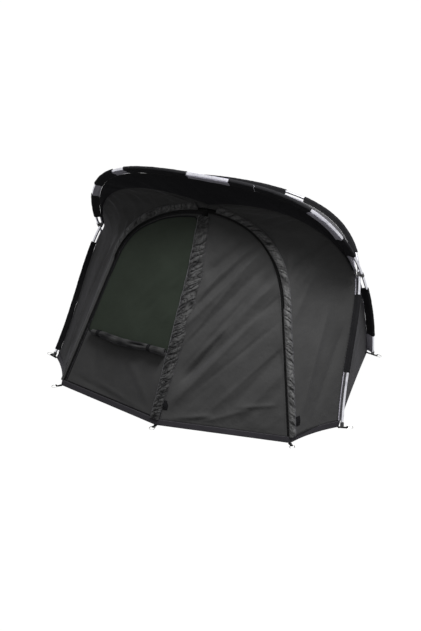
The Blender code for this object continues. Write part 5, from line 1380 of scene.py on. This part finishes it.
def sleeve_strip(hoop, start, end, shares, drop, seed):
    """Places of one strip, and which cells are open between its sleeves."""
    low = drop - FIN_FOOT
    top = SLEEVE_RADIUS + 0.55 * (low - SLEEVE_RADIUS)
    angles = np.linspace(0.0, math.pi, ROUND_STEPS)
    fin = np.linspace(low, top, FIN_ROWS)
    outline = np.array([(-FIN_HALF, depth) for depth in fin]
                       + [(-SLEEVE_RADIUS * math.cos(a), -SLEEVE_RADIUS * math.sin(a)) for a in angles]
                       + [(FIN_HALF, depth) for depth in fin[::-1]])
    spans = [(a * hoop.length, b * hoop.length) for a, b in shares]
    ends = np.array([arc for span in spans for arc in span if start < arc < end])
    arcs = np.linspace(start, end, round((end - start) / SLEEVE_STEP))
    arcs = np.sort([arc for arc in arcs if not len(ends) or np.abs(ends - arc).min() > 0.003] + list(ends))
    centre, inward = hoop.at(arcs), hoop.inward_at(arcs)
    pucker = gathers(*np.meshgrid(arcs, np.linspace(0.0, 0.10, len(outline)), indexing="ij"), PUCKER_PITCH, 0.25,
                     seed)
    tube = (outline[:, 1] < top - 0.001)[None] * 1.0
    grow = 1 + tube * (PUCKER_GROWTH * pucker - 0.02)
    waver = FIN_WAVE * rumple(arcs, 0 * arcs, 0.06, seed + 3)[:, None] * (1 - tube)
    x = outline[None, :, 0] * grow + waver
    depth = np.where(outline[None, :, 1] < 0, outline[None, :, 1] * grow, outline[None, :, 1])
    grid = centre[:, None] + x[..., None] * hoop.across + depth[..., None] * inward[:, None]
    middle = (arcs[:-1] + arcs[1:]) / 2
    bare = ~np.any([(a < middle) & (middle < b) for a, b in spans], axis=0)
    part = np.abs(middle / hoop.length - 0.5)
    veil = (hoop is FRONT) & ((part < VEIL_TOP) | (part > VEIL_LEG))
    holes = np.zeros((len(arcs) - 1, len(outline) - 1), bool)
    for rows, kept in ((bare & ~veil, FIN_ROWS - 1), (bare & veil, FIN_ROWS)):
        holes[np.ix_(rows, np.arange(kept, holes.shape[1] - kept))] = True
    return grid, holes


print("room in a sleeve round its pole", round(SLEEVE_RADIUS - POLE_RADIUS, 4))

# %% Lay the sleeves
for prefix, hoop, cross, shares, drop in (("front", FRONT, FRONT_CROSS, FRONT_SLEEVE_SHARES, FRONT_DROP),
                                          ("rear", REAR, REAR_CROSS, REAR_SLEEVE_SHARES, REAR_DROP)):
    foot = hoop.foot(PANEL_FOOT + 0.0025, drop)
    left = hoop.length - cross
    spans = (("left", foot, left - CLIP_LENGTH), ("top", left + CLIP_LENGTH, cross - CLIP_LENGTH),
             ("right", cross + CLIP_LENGTH, hoop.length - foot))
    for k, (side, start, end) in enumerate(spans):
        grid, holes = sleeve_strip(hoop, start, end, shares, drop, 111 + k)
        sleeve = lay_cloth(f"{prefix}_{side}_sleeve", grid, DARK, 0.0011, "lr", holes, outward=True)
        dress(sleeve, grid, [f"{prefix}_sleeve_{side}"], [f"{prefix}_pole_3"], slot="sleeve_cloth", held="gathered",
              area=cut_size(grid)[1] * max(1 - holes.mean(), LEAST_SHARE))
        # The fin rows under bare pole take the pale finish, a painted sheen.
        sleeve.data.materials.append(SHEEN_PAINTED_FIN)
        centres = np.array([face.center for face in sleeve.data.polygons])
        rows = (grid[:-1].mean(1) + grid[1:].mean(1)) / 2
        nearest = np.array([np.argmin(((rows - spot) ** 2).sum(1)) for spot in centres])
        bare = holes.any(axis=1)[nearest]
        sleeve.data.polygons.foreach_set("material_index", bare.astype(np.int32))

# %% The poles
SECTION_GAP, CHAMFER, SEGMENT = 0.0004, 0.0008, 0.110
for prefix, hoop in (("front", FRONT), ("rear", REAR)):
    segments = 2 * round(hoop.length / SEGMENT / 2)
    tip = hoop.tip()
    start = tip + TIP_COLLAR
    joints = [(math.floor(k * segments / SECTIONS) + 0.5) / segments * hoop.length for k in range(1, SECTIONS)]
    ends = [start] + joints + [hoop.length - start]
    for k in range(SECTIONS):
        low, high = ends[k] + SECTION_GAP, ends[k + 1] - SECTION_GAP
        inner = np.linspace(low + 0.004, high - 0.004, 60)
        arcs = np.concatenate(([low, low + CHAMFER], inner, [high - CHAMFER, high]))
        radii = np.full(len(arcs), POLE_RADIUS)
        radii[[0, -1]] -= CHAMFER
        pole = rod(f"{prefix}_hoop_section_{k + 1}", hoop.at(arcs), radii, ALLOY)
        mount(pole, "tent", "pole_alloy", f"{prefix}_pole_{k + 1}")
    turns = np.linspace(-math.pi / 2, 0.0, 8)
    reach = np.concatenate((TIP_RADIUS * np.sin(turns), TIP_COLLAR - np.array((0.003, 0.001, 0.0))))
    radii = np.concatenate((TIP_RADIUS * np.cos(turns) + 0.0001, [TIP_RADIUS, TIP_RADIUS - 0.0006, 0.0098]))
    for side, arc, step in (("left", tip, 1.0), ("right", hoop.length - tip, -1.0)):
        along = hoop.at(arc) + reach[:, None] * unit(hoop.at(arc + step * 0.02) - hoop.at(arc))
        mount(rod(f"{prefix}_{side}_foot", along, radii, PLASTIC), "tent", "black_plastic")
print("hoop sections", 2 * SECTIONS)

# %% [markdown]
# ## The hem, the peg loops and the groundsheet
# A wide tape is sewn round the foot of the shell. At each corner a loop of
# webbing holds a ring for a peg, and at the hoops' feet it also holds the
# pole's tip. The groundsheet lies inside.

# %% The hem tape
HEM_ROWS, HEM_TOP, HEM_RUMPLE, HEM_LIFT = 7, 0.034, 0.0014, 0.0012
hem_cut = np.stack([hem_outline(height) for height in np.linspace(HEM_FOOT, HEM_TOP, HEM_ROWS)])
u, v = thread_lengths(hem_cut)
hem_rows = push(hem_cut, -HEM_RUMPLE * rumple(u, 0.5 * v, 0.07, 121) * ramp(v, 0, 0.01))
hem_rows[:, -1] = hem_rows[:, 0]
band = lay_cloth("hem_tape", faced(hem_rows + HEM_LIFT * normals_of(hem_cut)), HEM_BAND, 0.0020, "bt")
dress(band, hem_cut, ["hem_band"], ["groundsheet_cloth"], slot="webbing")

# %% The peg loops
WEB_WIDTH, WEB_NARROWING, WEB_THICKNESS, WEB_REACH, EYE_RADIUS = 0.022, 0.82, 0.0025, 0.034, 0.0030
NAMES = ("front", "right_zip", "right_front", "right_rear", "back_right", "back_left",
         "left_rear", "left_front", "left_zip")
FEET = {2: (REAR, 1.0), 3: (FRONT, 1.0), 6: (FRONT, -1.0), 7: (REAR, -1.0)}
spots = corners(0.0)
turns = np.linspace(-math.pi / 2, math.radians(200.0), 22)
for k, name in enumerate(NAMES):
    corner = spots[k]
    before, after = unit(corner - spots[k - 1]), unit(spots[(k + 1) % 9] - corner)
    outward = unit(np.cross(before + after, (0.0, 0.0, 1.0)))
    reach = WEB_REACH
    if k in FEET:
        hoop, side = FEET[k]
        tip = hoop.at(hoop.tip()) * np.array((-side, 1.0, 0.0))
        outward = unit(tip - corner * np.array((1.0, 1.0, 0.0)))
        reach += np.linalg.norm((tip - corner)[:2])
    eye = WEB_THICKNESS + EYE_RADIUS
    path = [(r, WEB_THICKNESS) for r in np.linspace(-0.0012, reach - 0.004, 8)]
    path += [(reach + EYE_RADIUS * math.cos(a), eye + EYE_RADIUS * math.sin(a)) for a in turns]
    sideways = np.cross((0.0, 0.0, 1.0), outward)
    middle = np.array([corner + r * outward + np.array((0.0, 0.0, z)) for r, z in path])
    wide = np.array([WEB_WIDTH * (WEB_NARROWING if r > 0.01 else 1.0) for r, _ in path])
    grid = middle[:, None] + (wide[:, None] * np.linspace(0.5, -0.5, 7))[..., None] * sideways
    loop = lay_cloth(f"{name}_peg_loop", grid, WEBBING, WEB_THICKNESS - 0.0004, "lr")
    trim(loop, "hem_tape", "tent", "webbing")
print("peg loops", len(NAMES))

# %% The groundsheet
FLOOR_HEIGHT, FLOOR_GAP, CURL_GAP, CURL_HEIGHTS, FLOOR_RINGS = 0.0030, 0.006, 0.0056, (0.007, 0.013, 0.021), 60
outline = hem_outline(FLOOR_HEIGHT)[:-1]
middle = outline.mean(0)
rings = np.linspace(0.002, 1.0, FLOOR_RINGS)[:, None, None]
floor_rows = (1 - rings) * middle + rings * hem_inside(FLOOR_HEIGHT, FLOOR_GAP)[None]
rise = 0.0012 + 0.0012 * rumple(floor_rows[..., 0], floor_rows[..., 1], 0.11, 131)
floor_rows[..., 2] = FLOOR_HEIGHT + np.maximum(rise, 0.0) * (1 - ramp(rings[..., 0], 0.97, 1.0))
curl = np.array([hem_inside(height, CURL_GAP) for height in CURL_HEIGHTS])
floor_rows = np.concatenate((floor_rows, curl))
floor_rows = floor_rows if raw_normals(floor_rows)[..., 2].sum() > 0 else floor_rows[:, ::-1]
floor_cloth = lay_cloth("groundsheet_cloth", floor_rows, FLOOR_CLOTH, 0.0026, "t")
places = read_items(floor_cloth.data.vertices, "co", 3)[read_items(floor_cloth.data.loops, "vertex_index", kind=int)]
write_map(floor_cloth.data, "threads", places[:, 0], places[:, 1])
mount(floor_cloth, "tent", "floor_sheet", "groundsheet")
wide, deep = float(np.ptp(outline[:, 0])), float(np.ptp(outline[:, 1]))
x, y = outline[:, 0], outline[:, 1]
floor_area = abs(float((x * np.roll(y, -1) - y * np.roll(x, -1)).sum())) / 2
CUTS["groundsheet_cloth"] = ((wide, deep), "laid", ["hem_tape"], floor_area)
print("groundsheet", round(wide, 3), round(deep, 3))

# %% [markdown]
# ## The rolled storm cover
# The window's cover is rolled up and held by two straps, so it is really one
# sheet wound into a spiral. It is drawn in at the straps and loose between
# them, with folds along it. Winding the sheet keeps its ends true: the turns
# can be seen there.

# %% Wind the cover
ROLL_RADIUS, ROLL_CORE, ROLL_TURNS, ROLL_SAG, ROLL_STEPS = 0.025, 0.0050, 4.3, 0.011, 190
ROLL_REST, ROLL_CREASES, ROLL_FLATNESS = 0.0016, 0.075, 0.10
EYE_PLACE, EYE_REACH, EYE_LID, EYE_LIP, EYE_DENT, EYE_SWELL = 0.66, 0.085, (1.75, 0.34), (1.25, 0.30), 0.62, 0.16
STRAP_SHARES = (0.10, 0.80)
ROLL_FULL = ((0.0, 0.62), (0.05, 0.78), (0.10, 0.70), (0.17, 0.96), (0.45, 1.08), (0.68, 1.10), (0.80, 0.76),
             (0.88, 1.02), (1.0, 0.94))
share = np.linspace(0.0, 1.0, ROLL_STEPS)
angle = np.linspace(0.0, 2 * math.pi * ROLL_TURNS, ROLL_STEPS)[None, :]
fullness = np.interp(share, *zip(*ROLL_FULL))
fullness = np.convolve(np.pad(fullness, 4, mode="edge"), np.ones(9) / 9, mode="valid")
reach = ROLL_ENDS[0] + share[:, None] * (ROLL_ENDS[1] - ROLL_ENDS[0])
between = (share - STRAP_SHARES[0]) / (STRAP_SHARES[1] - STRAP_SHARES[0])
reach[:, 1] -= ROLL_SAG * np.sin(math.pi * np.clip(between, 0.0, 1.0)) ** 2
axis_line = LEFT.place(reach, ROLL_RADIUS * fullness + ROLL_REST)
axis = unit(axis_line[-1] - axis_line[0])
side_way = np.cross(axis, LEFT.out)
length = share[:, None] * np.linalg.norm(axis_line[-1] - axis_line[0])
creases = (rumple(length, 0.030 * np.sin(angle) + 0 * length, 0.055, 141)
           + rumple(0.5 * length, 0.030 * np.cos(angle), 0.03, 142))
wound = ROLL_CORE + (ROLL_RADIUS - 0.0060) * angle / angle.max()
radius = wound * fullness[:, None] * (1 + ROLL_CREASES * creases)
flatten = 1 - ROLL_FLATNESS * np.maximum(-np.sin(angle), 0)
eye = np.exp(-((share - EYE_PLACE) / EYE_REACH) ** 2)[:, None] * ramp(angle / angle.max(), 0.2, 0.5)
lid, lip = (eye * np.exp(-((np.mod(angle, 2 * math.pi) - middle) / width) ** 2)
            for middle, width in (EYE_LID, EYE_LIP))
radius = radius * (1 - EYE_DENT * lid + EYE_SWELL * lip)
# The roll is painted a little darker all over, with painted shade deeper in its creases and in the dent of its eye,
# and a painted highlight on the eye's lip.
relief = np.clip(0.54 + 0.30 * creases, 0.22, 0.68) - 0.66 * lid + 0.3 * lip
grid = (axis_line[:, None] + (radius * np.cos(angle))[..., None] * side_way
        + (radius * flatten * np.sin(angle))[..., None] * LEFT.out)
roll = lay_cloth("rolled_storm_cover", grid, SHADE_PAINTED_GATHERS, 0.0012, "bt", relief=relief)
dress(roll, grid, ["storm_cover_roll"], ["left_leaf_cloth", "outer_roll_strap", "inner_roll_strap"], "left_leaf",
      held="folded")

# %% Strap the cover
STRAP_WIDTH, STRAP_RADIUS = 0.022, 0.0222
angles = np.linspace(0.0, 2 * math.pi, 49)
around = STRAP_RADIUS * (np.cos(angles)[:, None] * side_way + np.sin(angles)[:, None] * LEFT.out)
for name, s in zip(("outer", "inner"), STRAP_SHARES):
    place = axis_line[round(s * (len(axis_line) - 1))] + 0.0025 * LEFT.out
    grid = place + around[:, None] + np.linspace(STRAP_WIDTH / 2, -STRAP_WIDTH / 2, 7)[None, :, None] * axis
    strap = lay_cloth(f"{name}_roll_strap", grid, WEBBING, 0.0018, "lr", outward=True)
    trim(strap, "rolled_storm_cover", "left_leaf", "webbing", f"{name}_strap")
print("straps", len(STRAP_SHARES))

# %% [markdown]
# ## The pull tabs
# Beside the foot of each flap a short tab of webbing is sewn on, to pull the
# cloth taut while the zip is worked. It is a doubled piece, bowed a little.

# %% The pull tabs
TAB_WIDTH, TAB_LENGTH, TAB_HEIGHT, TAB_MARGIN, TAB_SPARE, TAB_BOW = 0.024, 0.042, 0.100, 0.004, 0.007, 0.0035


def pull_tab(name, grid, normal, cloth, body, node):
    """A bowed tab of doubled webbing on a patch of places."""
    lift = 0.0012 + TAB_BOW * np.sin(math.pi * edge_share(grid)[1]) ** 2
    tab = lay_cloth(name, faced(grid + lift[..., None] * normal), WEBBING, 0.0018, "bt", outward=True)
    trim(tab, cloth, body, "webbing", node)


def tab_reach(near):
    """How far from the zip the tab's threads lie."""
    return np.linspace(near, near + TAB_WIDTH + TAB_SPARE, 6)


low = RIGHT.seam_at(TAB_HEIGHT)
head = (np.linalg.norm(low - BAND_FOOT) + TAB_LENGTH) / np.linalg.norm(BAND_TOP - BAND_FOOT)
reach = tab_reach(CENTRE_FLAP_WIDTH * np.interp(head, *zip(*CENTRE_FLAP_SHARES)) + TAB_MARGIN)
climb = np.linspace(-TAB_SPARE, TAB_LENGTH + TAB_SPARE, 12)
spots = low + reach[None, :, None] * RIGHT.over + climb[:, None, None] * RIGHT.seam
pull_tab("centre_pull_tab", RIGHT.place(spots, 0.0006), RIGHT.out, "right_leaf_cloth", "right_leaf",
         "centre_flap_tab")
for side in ("right", "left"):
    cut = WING_CUTS[f"{side}_wing"]
    u, v = thread_lengths(cut)
    reach = tab_reach(FLAP_WIDTH - ZIP_HALF + TAB_MARGIN)
    rows = []
    for height in 0.9 * (TAB_HEIGHT - PANEL_FOOT) + climb:
        r = np.interp(height, v[:, 0], np.arange(len(v)))
        j, f = int(r), r - int(r)
        line, steps = (1 - f) * cut[j] + f * cut[j + 1], (1 - f) * u[j] + f * u[j + 1]
        rows.append(read_at(reach, steps, line))
    normal = unit(normals_of(cut)[5:12, 6:10].reshape(-1, 3).mean(0))
    pull_tab(f"{side}_pull_tab", np.array(rows), normal, f"{side}_wing_cloth", "tent", f"{side}_flap_tab")
print("pull tabs", TAB_WIDTH, "by", TAB_LENGTH)

# %% Work out each cloth's flat size and area
for name, (flat_size, held, rests_on, area) in CUTS.items():
    narrow = min(1.0, area / (LEAST_SHARE * flat_size[0] * flat_size[1]))
    flat_size = (flat_size[0] * narrow, flat_size[1])
    area = min(area, flat_size[0] * flat_size[1])
print("sheets declared", len(CUTS))

# %% [markdown]
# ## Floor, light and camera
# The photograph is a cut-out on white with soft light from above. The floor
# is pale and keeps a little of the shelter's shadow, the backdrop is white to
# the camera, and one lamp overhead with a soft sky lights the cloth plainly.

# %% The floor and the backdrop
WHITE, FLOOR_GREY, FLOOR_SHOW = grey(1.0), grey(0.18), 0.86


def seen_plainly(tree):
    """One for rays from the camera, and for those mirrored or passed through, and nothing for soft light."""
    path = tree.nodes.new("ShaderNodeLightPath").outputs
    return larger(tree, path["Is Camera Ray"], larger(tree, path["Is Glossy Ray"], path["Is Transmission Ray"]))


mesh = bpy.data.meshes.new("studio_floor")
with edited(mesh) as bm:
    bmesh.ops.create_grid(bm, x_segments=1, y_segments=1, size=60.0)
new_object("studio_floor", mesh)
paint, tree, shader = new_finish("studio floor")
set_inputs(tree, shader, Base_Color=FLOOR_GREY, Roughness=0.9)
glow = add_node(tree, "Emission", Color=WHITE, Strength=1.15)
mixer = tree.nodes.new("ShaderNodeMixShader")
share = times(tree, seen_plainly(tree), FLOOR_SHOW)
for socket, value in zip(mixer.inputs, (share, shader.outputs[0], glow.outputs[0])):
    tree.links.new(value, socket)
tree.links.new(mixer.outputs[0], tree.nodes["Material Output"].inputs["Surface"])
mesh.materials.append(paint)
print("floor shows", FLOOR_SHOW, "of its white to the camera")

# %% The sky and the lamp
# The sky is brightest overhead and on the shelter's right, and dim in front,
# so that the brow shades the doors. Each line below says from where to where
# the sky changes, and from how bright to how bright.
SKY_ABOVE, SKY_RIGHT = (0.15, 1.0, 0.0, 0.70), (0.1, 0.8, 0.0, 0.75)
SKY_LEFT, SKY_FRONT = (-0.8, -0.2, 0.45, 0.0), (-0.9, 0.1, 0.40, 1.0)
world = bpy.data.worlds.new("studio")
bpy.context.scene.world = world
world.use_nodes = True
tree = world.node_tree
seen = seen_plainly(tree)
side, front, height = xyz(tree, tree.nodes.new("ShaderNodeTexCoord").outputs["Generated"])
sky = plus(tree, map_range(tree, height, *SKY_ABOVE), map_range(tree, side, *SKY_RIGHT))
sky = plus(tree, sky, map_range(tree, side, *SKY_LEFT))
sky = times(tree, sky, map_range(tree, front, *SKY_FRONT))
set_inputs(tree, tree.nodes["Background"], Color=WHITE,
           Strength=plus(tree, times(tree, sky, minus(tree, 1.0, seen)), seen))
LAMP_POWER, LAMP_SIZE, LAMP_PLACE, LAMP_WAY = 112.0, 0.9, (0.85, -0.69, 3.2), (-0.02, -0.02, -1.0)
lamp = bpy.data.lights.new("key", "AREA")
lamp.energy, lamp.size = LAMP_POWER, LAMP_SIZE
key = new_object("key", lamp)
key.location = LAMP_PLACE
key.rotation_mode = "QUATERNION"
key.rotation_quaternion = Vector(LAMP_WAY).to_track_quat("-Z", "Y")
print("lamp", LAMP_POWER, "at", LAMP_PLACE)

# %% The camera, at the photograph's angle
YAW, PITCH, ROLL, FOCAL = 0.400, 0.424, 0.042, 1057.9
PHOTO_HEIGHT, SENSOR, CAMERA_PLACE = 631, 36.0, (2.5116, -6.1187, 3.3417)
right = Vector((math.cos(YAW), math.sin(YAW), 0.0))
ahead = Vector((-math.sin(YAW) * math.cos(PITCH), math.cos(YAW) * math.cos(PITCH), -math.sin(PITCH)))
upward = right.cross(ahead)
x = math.cos(ROLL) * right + math.sin(ROLL) * upward
y = -math.sin(ROLL) * right + math.cos(ROLL) * upward
lens = bpy.data.cameras.new("camera")
lens.sensor_fit, lens.sensor_height, lens.sensor_width = "VERTICAL", SENSOR, SENSOR
lens.lens = FOCAL / PHOTO_HEIGHT * SENSOR
camera = new_object("camera", lens)
camera.matrix_world = Matrix.Translation(CAMERA_PLACE) @ Matrix((x, y, -ahead)).transposed().to_4x4()
bpy.context.scene.camera = camera
bpy.context.scene.view_settings.view_transform = "Standard"
print("lens", round(lens.lens, 2))
